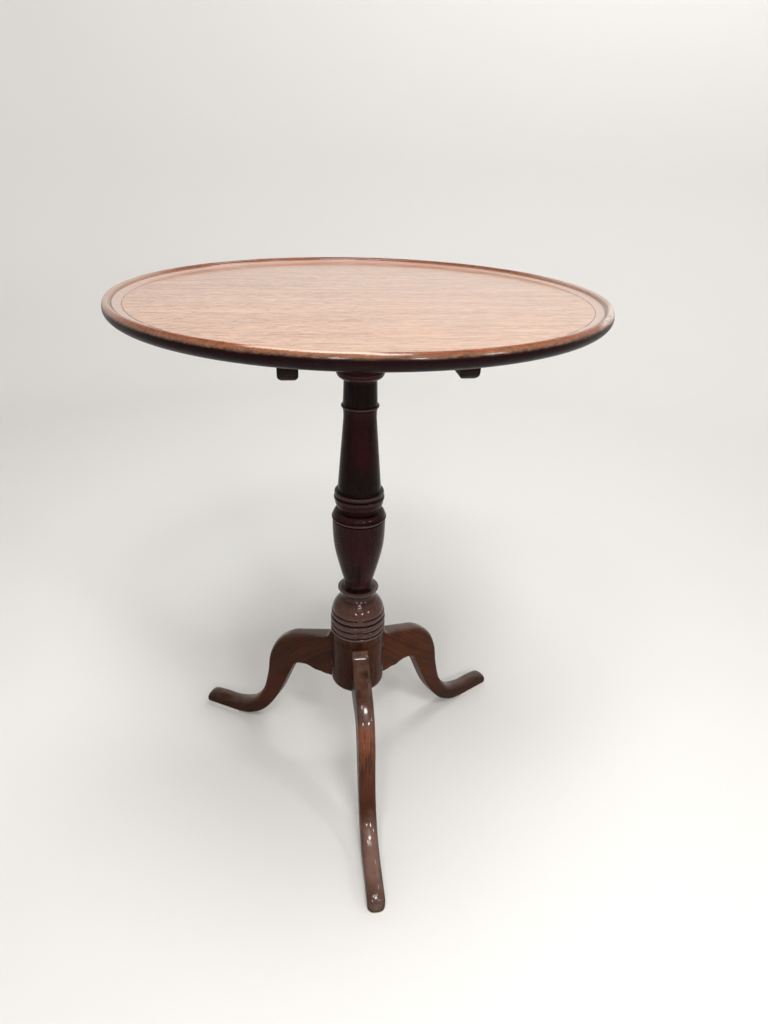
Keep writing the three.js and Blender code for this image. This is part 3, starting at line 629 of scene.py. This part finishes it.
# Turns that stand a plan outline up, as it is seen from the front or from the side
FRONT_VIEW = Matrix(((1, 0, 0, 0), (0, 0, 1, 0), (0, 1, 0, 0), (0, 0, 0, 1)))
SIDE_VIEW = Matrix(((0, 0, 1, 0), (1, 0, 0, 0), (0, 1, 0, 0), (0, 0, 0, 1)))


def prism(name, outline, low, high, turn):
    """A prism on an outline, between two levels in millimetres, that is then turned."""
    size = len(outline)
    vertices = [(x, y, z) for z in (low, high) for x, y in outline]
    sides = [(i, (i + 1) % size, (i + 1) % size + size, i + size) for i in range(size)]
    mesh = mesh_of(name, vertices, sides + [tuple(range(size))[::-1],
                                            tuple(range(size, 2 * size))])
    mesh.transform(turn)
    tidy(mesh)
    return add_object(name, mesh)


def break_edges(piece, width, segments=2, angle=30.0):
    """Breaks a piece's sharp edges."""
    bevel = piece.modifiers.new("broken edges", "BEVEL")
    bevel.width = width
    bevel.segments = segments
    bevel.limit_method = "ANGLE"
    bevel.angle_limit = math.radians(angle)
    settle(piece)


def finish_packed(node, width, segments, material, body, slot):
    """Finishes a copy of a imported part, with its faces joined and its edges broken."""
    work = bmesh.new()
    work.from_mesh(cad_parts[node].data)
    bmesh.ops.remove_doubles(work, verts=work.verts, dist=1e-6)
    bmesh.ops.dissolve_limit(work, angle_limit=math.radians(0.5), verts=work.verts,
                             edges=work.edges)
    mesh = bpy.data.meshes.new(node + "_finished")
    work.to_mesh(mesh)
    work.free()
    piece = add_object(node + "_finished", mesh)
    break_edges(piece, width, segments)
    tidy(piece.data)
    finish_piece(piece, material, body, slot, node)


def cut(piece, operation, *cutters):
    """Cuts a piece with closed shapes, which are then deleted."""
    for cutter in cutters:
        tool = piece.modifiers.new("cut", "BOOLEAN")
        tool.operation = operation
        tool.solver = "EXACT"
        tool.object = cutter
    settle(piece)
    for cutter in cutters:
        mesh = cutter.data
        bpy.data.objects.remove(cutter)
        bpy.data.meshes.remove(mesh)


# Geometry Nodes

def node_group(name, inputs):
    """A Geometry Nodes tree as its graph, its inputs' identifiers by name, and its inputs."""
    tree = bpy.data.node_groups.new(name, "GeometryNodeTree")
    keys = {}
    for title, kind in inputs:
        socket = tree.interface.new_socket(title, in_out="INPUT", socket_type="NodeSocket" + kind)
        keys[title] = socket.identifier
    tree.interface.new_socket("Geometry", in_out="OUTPUT", socket_type="NodeSocketGeometry")
    graph = Graph(tree)
    entry = tree.nodes.new("NodeGroupInput")
    return graph, keys, [Flow(graph, entry.outputs[title]) for title in keys]


def end_group(graph, geometry, finish):
    """Ends a tree with plain meshes that wear the finish."""
    plain = graph.node("GeometryNodeRealizeInstances", {"Geometry": geometry})
    worn = graph.node("GeometryNodeSetMaterial", {"Geometry": plain, "Material": finish})
    graph.node("NodeGroupOutput", {0: worn})


def run_group(name, places, lines, graph, keys, values):
    """Runs a tree on points in metres, or on a line of them, and keeps what it makes."""
    mesh = bpy.data.meshes.new(name)
    mesh.from_pydata(places, lines, [])
    piece = add_object(name, mesh)
    tool = piece.modifiers.new(graph.tree.name, "NODES")
    tool.node_group = graph.tree
    for title, value in values.items():
        tool[keys[title]] = value
    settle(piece)
    bpy.data.node_groups.remove(graph.tree)
    return piece


def turned_piece(name, profile, sides, material):
    """A piece turned about the Z axis, from a profile of (radius, level) that runs downwards.

    The tree takes the profile with its depth below the origin as y.
    """
    graph, keys, (line, resolution, seam, finish) = node_group("turning", [
        ("Profile", "Geometry"), ("Sides", "Int"), ("Seam", "Float"), ("Finish", "Material")])
    axis = graph.node("GeometryNodeCurvePrimitiveCircle",
                      {"Resolution": resolution, "Radius": MM * MM})
    turned = graph.node("GeometryNodeCurveToMesh", {
        "Curve": axis, "Profile Curve": graph.node("GeometryNodeMeshToCurve", {0: line})})
    closed = graph.node("GeometryNodeMergeByDistance", {"Geometry": turned, "Distance": seam})
    end_group(graph, closed, finish)
    return run_group(
        name, [(radius * MM, -level * MM, 0.0) for radius, level in profile],
        [(index, index + 1) for index in range(len(profile) - 1)], graph, keys,
        {"Sides": sides, "Seam": 5e-6, "Finish": material})


def raised(graph, geometry, height):
    """A geometry moved upwards."""
    shift = graph.node("ShaderNodeCombineXYZ", {"Z": height})
    return graph.node("GeometryNodeTransform", {"Geometry": geometry, "Translation": shift})


def screw_group():
    """Slotted screws on points: the head's face looks back along the leaning z axis."""
    graph, keys, flows = node_group("slotted screws", [
        ("Places", "Geometry"), ("Head Radius", "Float"), ("Head Height", "Float"),
        ("Shank Radius", "Float"), ("Length", "Float"), ("Slot Width", "Float"),
        ("Slot Depth", "Float"), ("Sides", "Int"), ("Lean", "Vector"), ("Seed", "Int"),
        ("Finish", "Material")])
    (places, head_radius, head_height, shank_radius, whole, slot_width, slot_depth, sides, lean,
     seed, finish) = flows
    head = graph.node("GeometryNodeMeshCone", {
        "Vertices": sides, "Radius Top": shank_radius, "Radius Bottom": head_radius,
        "Depth": head_height})
    slot_size = graph.node("ShaderNodeCombineXYZ", {
        "X": head_radius * 3.0, "Y": slot_width, "Z": slot_depth * 2.0})
    slot = graph.node("GeometryNodeMeshCube", {"Size": slot_size})
    slotted = graph.node("GeometryNodeMeshBoolean", {"Mesh 1": head, "Mesh 2": slot},
                         operation="DIFFERENCE", solver="EXACT")
    start = head_height * 0.7
    tip = shank_radius * 2.2
    straight = whole - start - tip
    core = shank_radius * 0.78
    shank = graph.node("GeometryNodeMeshCylinder", {
        "Vertices": 16, "Radius": core, "Depth": straight})
    point = graph.node("GeometryNodeMeshCone", {
        "Vertices": 16, "Radius Top": 0.1 * MM, "Radius Bottom": core, "Depth": tip})
    threaded = whole * 0.62
    turns = graph.node("ShaderNodeMath", {0: threaded, 1: core * 1.3}, operation="DIVIDE")
    helix = graph.node("GeometryNodeCurveSpiral", {
        "Resolution": 12, "Rotations": turns,
        "Start Radius": core, "End Radius": core * 0.8, "Height": threaded})
    ridge = graph.node("GeometryNodeCurvePrimitiveCircle", {
        "Resolution": 4, "Radius": core * 0.26})
    thread = graph.node("GeometryNodeCurveToMesh", {
        "Curve": helix, "Profile Curve": ridge, "Fill Caps": True})
    joined = graph.tree.nodes.new("GeometryNodeJoinGeometry")
    for part in (slotted, raised(graph, shank, start + straight * 0.5),
                 raised(graph, point, whole - tip), raised(graph, thread, whole * 0.33)):
        graph.tree.links.new(part.socket, joined.inputs[0])
    placed = graph.node("GeometryNodeInstanceOnPoints", {
        "Points": places, "Instance": Flow(graph, joined.outputs[0]), "Rotation": lean})
    turn = graph.node("FunctionNodeRandomValue", {"Min": 0.0, "Max": math.pi, "Seed": seed},
                      "Value", data_type="FLOAT")
    spun = graph.node("GeometryNodeRotateInstances", {
        "Instances": placed, "Rotation": graph.node("ShaderNodeCombineXYZ", {"Z": turn}),
        "Local Space": True})
    end_group(graph, spun, finish)
    return graph, keys


def screws(name, nodes, sizes, look, material, body, slot, along_y=False):
    """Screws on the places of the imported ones, as one piece."""
    boxes = [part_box(node) for node in nodes]
    low, high = boxes[0]
    if along_y:
        places = [((lo.x + hi.x) / 2, lo.y, (lo.z + hi.z) / 2) for lo, hi in boxes]
    else:
        places = [((lo.x + hi.x) / 2, (lo.y + hi.y) / 2, lo.z) for lo, hi in boxes]
    shank_radius, head_height, slot_width, slot_depth = (size * MM for size in sizes)
    piece = run_group(name, places, [], *screw_group(), {
        "Head Radius": (high.x - low.x) / 2, "Head Height": head_height,
        "Shank Radius": shank_radius, "Length": high.y - low.y if along_y else high.z - low.z,
        "Slot Width": slot_width, "Slot Depth": slot_depth, "Sides": look.sides,
        "Lean": (math.radians(-90) if along_y else 0.0, 0.0, 0.0), "Seed": look.seed,
        "Finish": material})
    piece.data.shade_smooth()
    piece.data.set_sharp_from_angle(angle=math.radians(35))
    finish_piece(piece, material, body, slot, *nodes)


# Profiles and outlines of this table

def board_profile():
    """The board's section, from the middle of its top down to the middle of its underside."""
    return [
        (0, 704), (90, 704), (180, 704), (240, 704), (259.35, 704), (259.95, 703.6), (260.55, 704),
        *arc((260.55, 706.6), 8.8, 2.6, -90, 0, 12)[1:],
        (270.45, 706), (271.55, 707), *arc((275.75, 707), 4.2, 3, 180, 90, 12)[1:],
        *arc((275.75, 702), 4, 8, 90, 0, 14)[1:], *arc((263.95, 702), 15.8, 11.1, 0, -90, 22)[1:],
        (235.95, 688), (150, 688), (60, 688), (0, 688),
    ]


def column_profile():
    """The column's members, from its foot up to the end of its tenon."""
    return [
        (0, 143), (18, 143), *arc((28.3, 153), 10, 10, -90, 0, 12),
        (38.3, 165), (38.3, 185), (38.3, 205), (38.3, 225.5), (37.7, 226.2), (38.3, 226.9),
        (38.3, 236.3), (37.4, 236.85), *bead(237.4, 4.4, 37.4, 39, 10),
        (37.4, 242.35), *bead(242.9, 8.75, 37.4, 39), (37.4, 252.2), *bead(252.75, 8.75, 37.4, 39),
        (37.4, 262.05), *bead(262.6, 8.75, 35.5, 38),
        *bend((36.6, 272.45), (35.88, 281.04), (27.6, 289.3)),
        *bend((27.6, 289.3), (21.4, 294.01), (21.4, 300), 10)[1:],
        *arc((27, 307.2), 1.3, 0.9, -90, 0, 8),
        *bend((28.3, 308), (21.37, 309.365), (18.4, 311.9)),
        *spline([(18.4, 311.9), (19.8, 320.41), (25.53, 341.63), (30.96, 363.9), (33.75, 380.29),
                 (35, 397.62), (35.3, 416.95)], 8)[1:],
        (33.9, 417.7), *bead(418.45, 3.8, 34.7, 36.3, 10),
        *bend((35, 423), (34.21, 428.95), (28.4, 432.6)),
        *bend((28.4, 434.1), (31.6, 438.54), (32.4, 446.1)), *bead(446.1, 5.3, 32.4, 33.3)[1:],
        *bead(452.2, 5.9, 31.7, 32.6), *bead(458.9, 2.3, 28.4, 29.8, 8),
        (24.65, 509.4), *bend((20.9, 557.7), (20.9, 568.7), (21.6, 568.7), 10),
        *bead(571.1, 4, 21.6, 23.9, 10), *bead(605.6, 2.4, 20.65, 21.6, 8),
        *arc((21.6, 614.6), 7.7, 6.6, -90, 0, 12), (29.8, 614.6), (29.8, 617.2),
        *bend((29.3, 617.2), (27, 630.4), (32, 643.6)),
        *arc((32, 646.6), 3, 3, -90, 0, 8)[1:], (35, 655.4), (13, 655.4), (13, 687.1), (0, 687.1),
    ]


# The crest's wear, in metres: how far out it starts, the foot of the crest, and its waves
WORN_FROM = 0.2732
CREST_FOOT = 0.7045
WEAR_WAVES = ((7, 0.6), (17, 2.1), (41, 4.0))

BATTEN_ROUND = 7.5
BATTEN_END_ROUND = 12
PINTLE = (43, 672.7)
PINTLE_HOLE = 8.3

# The wedge's kerf in the column's tenon, and how far in or out counts as full relief
KERF = [(-1.3, 666.8), (1.3, 666.8), (2.8, 689), (-2.8, 689)]
FULL_RELIEF = 1.1
# What is cut out of the column for a leg, its flat and its socket: each one's plan and top
LEG_CUTS = (([(36.3, -11.8), (80, -11.8), (80, 11.8), (36.3, 11.8)], 223.3),
            ([(19.8, -8.8), (38.6, -5.5), (38.6, 5.5), (19.8, 8.8)], 218.3))

KNOB = [(0, 684.8), (2.3, 684.8), (2.5, 684.6), (2.5, 680), (3, 680), (3, 677.5),
        *arc((0, 670.5), 6.5, 4.5, 60, -90, 20)]
# A screw's shank radius, head height, slot width and slot depth
BRASS_SCREW = (1.4, 1.4, 0.6, 0.6)
BRACE_SCREW = (1.8, 2.0, 0.8, 0.9)
BATTEN_SCREW = (2.2, 2.6, 0.9, 1.0)

LEG_SHOULDER = 36.6
LEG_TIP = 279.3
LEG_FLOOR = 2.5
LEG_RISE = 220.5
LEG_BOTTOM = 143
LEG_TOP = [(0.212, 0.9), (0.311, 0.866), (0.401, 0.782), (0.457, 0.646), (0.482, 0.478),
           (0.533, 0.283), (0.632, 0.15), (0.764, 0.095), (0.888, 0.093), (0.97, 0.073),
           (1, 0.02)]
LEG_UNDER = [(0.735, 0), (0.632, 0.025), (0.517, 0.113), (0.41, 0.288), (0.315, 0.528),
             (0.265, 0.633), (0.204, 0.657), (0.162, 0.654)]
# Where a section meets the leg's top and its underside, both as shares along the leg
LEG_SECTIONS = [(0, 0), (0.0119, 0.012), (0.063, 0.08), (0.116, 0.121), (0.16, 0.162),
                (0.212, 0.204), (0.311, 0.25), (0.401, 0.29), (0.457, 0.33), (0.482, 0.375),
                (0.533, 0.45), (0.632, 0.55), (0.764, 0.7), (0.888, 0.86), (0.97, 0.955), (1, 1)]
LEG_STEPS = 8
LEG_HALF = 11.5
# How deep a leg's round top is, and how square, along the leg
LEG_CROWN = [(0, 0.9, 3.2), (0.063, 1.4, 3.0), (0.15, 3.2, 2.7), (0.3, 5.6, 2.5), (0.45, 6.6, 2.4),
             (0.6, 7.4, 2.2), (0.9, 7.4, 2.2), (1, 4.0, 2.2)]
# A leg's tongue in the column, in plan, and its top
TONGUE = [(20.1, -8.5), (38.6, -5.2), (38.6, 5.2), (20.1, 8.5)]
TONGUE_TOP = 218
TOE_DEPTH = 8.5
TOE_SQUARENESS = 2.5
PAD_INSET = 0.6
PAD_LENGTH = 64
PAD_THICKNESS = 2.2


def along_leg(share_along):
    """A share along a leg as millimetres from the axis."""
    return LEG_SHOULDER + share_along * (LEG_TIP - LEG_SHOULDER)


def on_leg(place):
    """Shares along and up a leg as millimetres from the axis and the floor."""
    return (along_leg(place[0]), LEG_FLOOR + place[1] * LEG_RISE)


def between(table, at):
    """The values of a table at a place between its rows."""
    for low, high in zip(table, table[1:]):
        if at <= high[0]:
            part = (at - low[0]) / (high[0] - low[0]) if high[0] > low[0] else 0.0
            return [a + (b - a) * max(part, 0.0) for a, b in zip(low[1:], high[1:])]
    return list(table[-1][1:])


def leg_lines():
    """A leg's top line and its underside, both from the shoulder to the tip."""
    top = [(LEG_SHOULDER, 223), (39.5, 223),
           *bend((39.5, 223), (40.97, 213.08), on_leg((0.063, 0.941)), 10)[1:]]
    top += spline([top[-1], *[on_leg(one) for one in LEG_TOP]], 16)[1:]
    under = spline([on_leg(one) for one in LEG_UNDER], 16)[::-1]
    return top, [(LEG_SHOULDER, LEG_BOTTOM), (along_leg(0.121), LEG_BOTTOM), *under,
                 (LEG_TIP, LEG_FLOOR)]


def toe_width(along):
    """How much of a leg's width the toe's plan leaves at a distance from the axis."""
    past = max((along - (LEG_TIP - TOE_DEPTH)) / TOE_DEPTH, 0.0)
    return max(1 - past ** TOE_SQUARENESS, 0.0) ** (1 / TOE_SQUARENESS)


def leg_section(height, crown, square, corner):
    """A leg's section: places across and up, round from the middle of its underside."""
    crown = min(crown, height * 0.75)
    corner = min(corner, (height - crown) * 0.8, height * 0.2)
    side = height - crown
    half = [(0.0, 0.0), (LEG_HALF * 0.5, 0.0),
            *arc((LEG_HALF - corner, corner), corner, corner, -90, 0, 5),
            *((LEG_HALF, corner + (side - corner) * part) for part in (0.33, 0.67)),
            *((across, side + up) for across, up in quarter(LEG_HALF, crown, square, 10))]
    return half + [(-across, up) for across, up in half[-2:0:-1]]


def leg_mesh(name, corner):
    """A leg along +X: sections from its shoulder to its toe, with its tongue."""
    top, under = leg_lines()
    stations = []
    for (top_a, under_a), (top_b, under_b) in zip(LEG_SECTIONS, LEG_SECTIONS[1:]):
        for step in range(LEG_STEPS):
            part = step / LEG_STEPS
            if top_b == 1:
                part = math.sin(part * math.pi / 2)
            stations.append((top_a + (top_b - top_a) * part, under_a + (under_b - under_a) * part))
    stations.append(LEG_SECTIONS[-1])
    vertices = []
    crowned = []
    for top_share, under_share in stations:
        high_along, low_along = along_leg(top_share), along_leg(under_share)
        high_level, low_level = between(top, high_along)[0], between(under, low_along)[0]
        height = math.hypot(high_along - low_along, high_level - low_level)
        crown, square = between(LEG_CROWN, top_share)
        ring = leg_section(height, crown, square, corner)
        for across, up in ring:
            along = low_along + (high_along - low_along) * up / height
            level = low_level + (high_level - low_level) * up / height
            vertices.append((along, across * toe_width(along), level))
            crowned.append(max(1 - (height - up) / crown, 0.0))
    size = len(ring)
    faces = [(row + i, row + (i + 1) % size, row + size + (i + 1) % size, row + size + i)
             for row in range(0, len(vertices) - size, size) for i in range(size)]
    faces.append(tuple(range(size)))
    start = len(vertices)
    vertices += [(x, y, z) for z in (LEG_BOTTOM, TONGUE_TOP) for x, y in TONGUE]
    faces += [tuple(start + i for i in face) for face in (
        (3, 2, 1, 0), (4, 5, 6, 7), (0, 1, 5, 4), (1, 2, 6, 5), (2, 3, 7, 6), (3, 0, 4, 7))]
    mesh = mesh_of(name, vertices, faces)
    mark_points(mesh, "crown", crowned + [0.0] * len(TONGUE) * 2)
    return mesh


def pad_outline():
    """A pad's plan along +X, with the toe's round end."""
    half = LEG_HALF - PAD_INSET
    toe = LEG_TIP - PAD_INSET - TOE_DEPTH
    side = [(LEG_TIP - PAD_LENGTH, half), *((toe + along, across) for across, along in quarter(
        half, TOE_DEPTH, TOE_SQUARENESS, 16))]
    return [(x, -y) for x, y in side] + side[-2::-1]


# The studio, in metres

TABLE_MIDDLE = (0.0, 0.0, 0.45)
WARM = (1.0, 0.98, 0.96)
# Each lamp's name, place, aim, size, share of the key lamp's power, and tint
LAMPS = (
    ("key", (0.0, -0.4, 2.9), TABLE_MIDDLE, 1.2, 1.0, (1.0, 1.0, 1.0)),
    ("side", (-1.1, -1.5, 2.3), TABLE_MIDDLE, 1.4, 0.08, WARM),
    ("front", (0.1, -1.7, 2.2), (0.0, 0.0, 0.2), 0.9, 0.15, WARM),
    ("wall", (0.9, 1.0, 2.9), (1.0, 2.6, 1.3), 1.2, 1.35, (1.0, 0.99, 0.98)),
    ("rim", (-0.38, -0.66, 1.9), (-0.06, -0.27, 0.71), 0.3, 0.13, WARM),
    ("knee", (0.14, -0.97, 1.91), (0.0, -0.17, 0.08), 0.38, 0.4, WARM),
    *(("glint", (x, y, 0.94), (0.0, 0.0, 0.28), 0.13, 0.1, WARM)
      for x, y in ((-0.33, -1.31), (0.36, -1.3), (0.95, -0.95))),
)
# The photograph's point of view: its place, then its turn to the right, down and sideways
EYE = (-0.08234, -0.81951, 0.85108)
EYE_TURN = rotation(-8.048, "Z") @ rotation(90 - 27.33, "X") @ rotation(1.705, "Z")


# Operators

class TABLE_OT_board(bpy.types.Operator):
    """Turn the dished board with its crest, cove and roll"""

    bl_idname = "tilt_table.board"
    bl_label = "Board"

    def execute(self, context):
        look = context.scene.table_board
        material = board_wood(look)
        piece = turned_piece("board", board_profile(), look.sides, material)
        for vertex in piece.data.vertices:
            if vertex.co.xy.length > WORN_FROM and vertex.co.z > CREST_FOOT:
                angle = math.atan2(vertex.co.y, vertex.co.x)
                wave = sum(math.sin(angle * waves + start) for waves, start in WEAR_WAVES) / 3
                vertex.co.z -= look.wear * max(0.0, 0.5 + 0.5 * wave)
        tidy(piece.data)
        finish_piece(piece, material, "top", "top_wood", "table_top")
        return {"FINISHED"}


class TABLE_OT_battens(bpy.types.Operator):
    """Shape the two battens that carry the board"""

    bl_idname = "tilt_table.battens"
    bl_label = "Battens"

    def execute(self, context):
        look = context.scene.table_stand
        material = polished_wood("batten_wood", LENGTHWISE_GRAIN, look.batten[:],
                                 tone(14, 8, 8), look, 0.36)
        low, high = (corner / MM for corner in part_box("batten_right"))
        for side, shift in (("left", -low.x - high.x), ("right", 0.0)):
            left, right = low.x + shift, high.x + shift
            piece = prism("batten_%s_shaped" % side,
                          trough(left, right, low.z, high.z + 1, BATTEN_ROUND),
                          low.y - 5, high.y + 5, FRONT_VIEW)
            ends = prism("ends", trough(low.y, high.y, low.z, high.z, BATTEN_END_ROUND),
                         left - 5, right + 5, SIDE_VIEW)
            cut(piece, "INTERSECT", ends)
            hole = prism("pintle hole", arc(PINTLE, PINTLE_HOLE, PINTLE_HOLE, 0, 360, 48)[:-1],
                         left - 2, right + 2, SIDE_VIEW)
            cut(piece, "DIFFERENCE", hole)
            tidy(piece.data)
            break_edges(piece, 0.5 * MM, 2, 40.0)
            tidy(piece.data)
            finish_piece(piece, material, "top", "dark_wood", "batten_" + side)
        return {"FINISHED"}


class TABLE_OT_column(bpy.types.Operator):
    """Turn the column and cut its leg sockets and its kerf"""

    bl_idname = "tilt_table.column"
    bl_label = "Column"

    def execute(self, context):
        look = context.scene.table_stand
        material = column_wood(look)
        profile = column_profile()
        piece = turned_piece("turned_column", profile[::-1], look.sides, material)
        tidy(piece.data)
        cutters = [prism("leg cut", outline, LEG_BOTTOM - 2, top, rotation(turn, "Z"))
                   for turn in LEG_TURNS.values() for outline, top in LEG_CUTS]
        cut(piece, "DIFFERENCE", *cutters, prism("kerf", KERF, -15, 15, SIDE_VIEW))
        tidy(piece.data)
        self.mark_relief(piece.data, profile)
        finish_piece(piece, material, "stand", "dark_wood", "column")
        return {"FINISHED"}

    @staticmethod
    def mark_relief(mesh, profile):
        """Stores how deep in a hollow, and how far out on an edge, each place of the column is."""
        rows = sorted((level, radius) for radius, level in profile[1:-2])
        relief = []
        for vertex in mesh.vertices:
            level = min(max(vertex.co.z / MM, 146.0), 653.0)
            near = [between(rows, level + step)[0] for step in (-3, -2, -1, 1, 2, 3)]
            relief.append((vertex.co.xy.length / MM - sum(near) / len(near)) / FULL_RELIEF)
        mark_points(mesh, "hollow", [min(max(-value, 0.0), 1.0) for value in relief])
        mark_points(mesh, "rub", [min(max(value, 0.0), 1.0) for value in relief])


class TABLE_OT_legs(bpy.types.Operator):
    """Shape the three cabriole legs and the pads under their feet"""

    bl_idname = "tilt_table.legs"
    bl_label = "Legs"

    def execute(self, context):
        look = context.scene.table_stand
        pad_material = felt(look)
        for name, degrees in LEG_TURNS.items():
            turn = rotation(degrees, "Z")
            mesh = leg_mesh("carved_leg_" + name, look.leg_corner / MM)
            mesh.transform(turn)
            tidy(mesh, 38.0)
            finish_piece(add_object(mesh.name, mesh), leg_wood(look, name, *LEG_SHADES[name]),
                         "stand", "leg_wood", "leg_" + name)
            pad = prism("felt_pad_" + name, pad_outline(), 0, PAD_THICKNESS, turn)
            break_edges(pad, 0.5 * MM, 3, 50.0)
            tidy(pad.data, 50.0)
            finish_piece(pad, pad_material, "stand", "pad_felt", "foot_pad_" + name)
        return {"FINISHED"}


class TABLE_OT_block(bpy.types.Operator):
    """Finish the block on the column and its wedge"""

    bl_idname = "tilt_table.block"
    bl_label = "Block"

    def execute(self, context):
        material = block_wood(context.scene.table_stand)
        finish_packed("tilt_block", 0.8 * MM, 3, material, "stand", "plain_wood")
        finish_packed("tenon_wedge", 0.3 * MM, 2, material, "stand", "plain_wood")
        return {"FINISHED"}


class TABLE_OT_catch(bpy.types.Operator):
    """Finish the brass catch, its bolt and knob, its strike plate and their screws"""

    bl_idname = "tilt_table.catch"
    bl_label = "Catch"

    def execute(self, context):
        look = context.scene.table_metal
        brass = brass_metal(look)
        for node, body in (("catch_plate", "top"), ("catch_guide_rear", "top"),
                           ("catch_guide_front", "top"), ("catch_bolt", "bolt"),
                           ("strike_plate", "stand")):
            finish_packed(node, look.edge, 2, brass, body, "brass")
        low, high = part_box("catch_knob")
        knob = turned_piece("turned_knob", KNOB, look.sides, brass)
        knob.data.transform(Matrix.Translation(((low.x + high.x) / 2, (low.y + high.y) / 2, 0)))
        tidy(knob.data)
        finish_piece(knob, brass, "bolt", "brass", "catch_knob")
        screws("catch_screws", ["catch_screw_%d" % row for row in (1, 2, 3, 4)],
               BRASS_SCREW, look, brass, "top", "brass")
        screws("strike_screws", ["strike_screw_left", "strike_screw_right"],
               BRASS_SCREW, look, brass, "stand", "brass", True)
        finish_packed("catch_spring", 0.1 * MM, 2, steel_metal(look), "top", "steel")
        return {"FINISHED"}


class TABLE_OT_brace(bpy.types.Operator):
    """Finish the iron brace under the base, and the steel screws"""

    bl_idname = "tilt_table.brace"
    bl_label = "Brace and steel screws"

    def execute(self, context):
        look = context.scene.table_metal
        finish_packed("base_brace", 0.5 * MM, 3, iron_metal(look), "stand", "iron")
        steel = steel_metal(look)
        screws("brace_screws", ["brace_screw_centre"] + [
            "brace_screw_%s_%s" % (leg, end) for leg in LEG_TURNS for end in ("inner", "outer")],
            BRACE_SCREW, look, steel, "stand", "steel")
        screws("batten_screws", [
            "batten_screw_%s_%d" % (side, row) for side in ("left", "right")
            for row in (1, 2, 3, 4)], BATTEN_SCREW, look, steel, "top", "steel")
        return {"FINISHED"}


class TABLE_OT_studio(bpy.types.Operator):
    """Set the floor, the wall, the lamps and the camera"""

    bl_idname = "tilt_table.studio"
    bl_label = "Studio"

    def execute(self, context):
        scene = context.scene
        look = scene.table_studio
        self.make_room(look)
        scene.world = bpy.data.worlds.new("studio")
        scene.world.use_nodes = True
        sky = scene.world.node_tree.nodes["Background"].inputs
        sky["Color"].default_value = (1.0, 1.0, 1.0, 1.0)
        sky["Strength"].default_value = look.sky
        for lamp in LAMPS:
            self.make_lamp(look, *lamp)
        data = bpy.data.cameras.new("camera")
        data.lens = look.lens
        scene.camera = self.stand("camera", data, EYE, EYE_TURN.to_quaternion())
        scene.view_settings.view_transform = "Standard"
        return {"FINISHED"}

    @staticmethod
    def make_room(look):
        """A floor that curves up into a wall all round. From below it can be seen through."""
        graph = start_material("studio_wall")
        diffuse = graph.node("ShaderNodeBsdfDiffuse", {"Color": look.floor[:]})
        clear = graph.node("ShaderNodeBsdfTransparent")
        behind = graph.node("ShaderNodeNewGeometry", output="Backfacing")
        surface = graph.node("ShaderNodeMixShader", {0: behind, 1: diffuse, 2: clear})
        graph.node("ShaderNodeOutputMaterial", {"Surface": surface})
        room = turned_piece("studio_floor", [
            (2700, 3200), *arc((1900, 800), 800, 800, 0, -90, 16), (800, 0), (0, 0)],
            96, graph.material)
        for face in room.data.polygons:
            if face.normal.z < -0.01 or face.normal.xy.dot(face.center.xy) > 0.01:
                face.flip()
        room.data.shade_smooth()

    @staticmethod
    def stand(name, data, place, turn):
        """A lamp or a camera in its place."""
        made = add_object(name, data)
        made.location = place
        made.rotation_mode = "QUATERNION"
        made.rotation_quaternion = turn
        return made

    def make_lamp(self, look, name, place, aim, size, power, tint):
        """A soft round lamp, with a share of the key lamp's power."""
        data = bpy.data.lights.new(name, "AREA")
        data.shape = "DISK"
        data.size = size
        data.energy = look.key * power
        data.color = tint
        aimed = (Vector(aim) - Vector(place)).to_track_quat("-Z", "Y")
        self.stand(name, data, place, aimed).visible_camera = False


class TABLE_PT_panel(bpy.types.Panel):
    """Lists the table's pieces and their settings"""

    bl_idname = "TABLE_PT_panel"
    bl_label = "Tilt top table"
    bl_space_type = "VIEW_3D"
    bl_region_type = "UI"
    bl_category = "Tilt top table"

    def draw(self, context):
        for group, (look, operators) in GROUPS.items():
            column = self.layout.column(align=True)
            for name in look.__annotations__:
                column.prop(getattr(context.scene, group), name)
            for operator in operators:
                column.operator(operator.bl_idname)


GROUPS = {
    "table_board": (BoardLook, (TABLE_OT_board,)),
    "table_stand": (StandLook, (TABLE_OT_battens, TABLE_OT_column, TABLE_OT_legs,
                                TABLE_OT_block)),
    "table_metal": (MetalLook, (TABLE_OT_catch, TABLE_OT_brace)),
    "table_studio": (StudioLook, (TABLE_OT_studio,)),
}


def register():
    for group, (look, operators) in GROUPS.items():
        for kind in (look, *operators):
            bpy.utils.register_class(kind)
        setattr(bpy.types.Scene, group, bpy.props.PointerProperty(type=look))
    bpy.utils.register_class(TABLE_PT_panel)


def unregister():
    bpy.utils.unregister_class(TABLE_PT_panel)
    for group, (look, operators) in GROUPS.items():
        delattr(bpy.types.Scene, group)
        for kind in (look, *operators):
            bpy.utils.unregister_class(kind)


def main():
    """Makes every piece and the studio."""
    register()
    for _, operators in GROUPS.values():
        for operator in operators:
            group, name = operator.bl_idname.split(".")
            getattr(getattr(bpy.ops, group), name)()


if __name__ == "__main__":
    main()
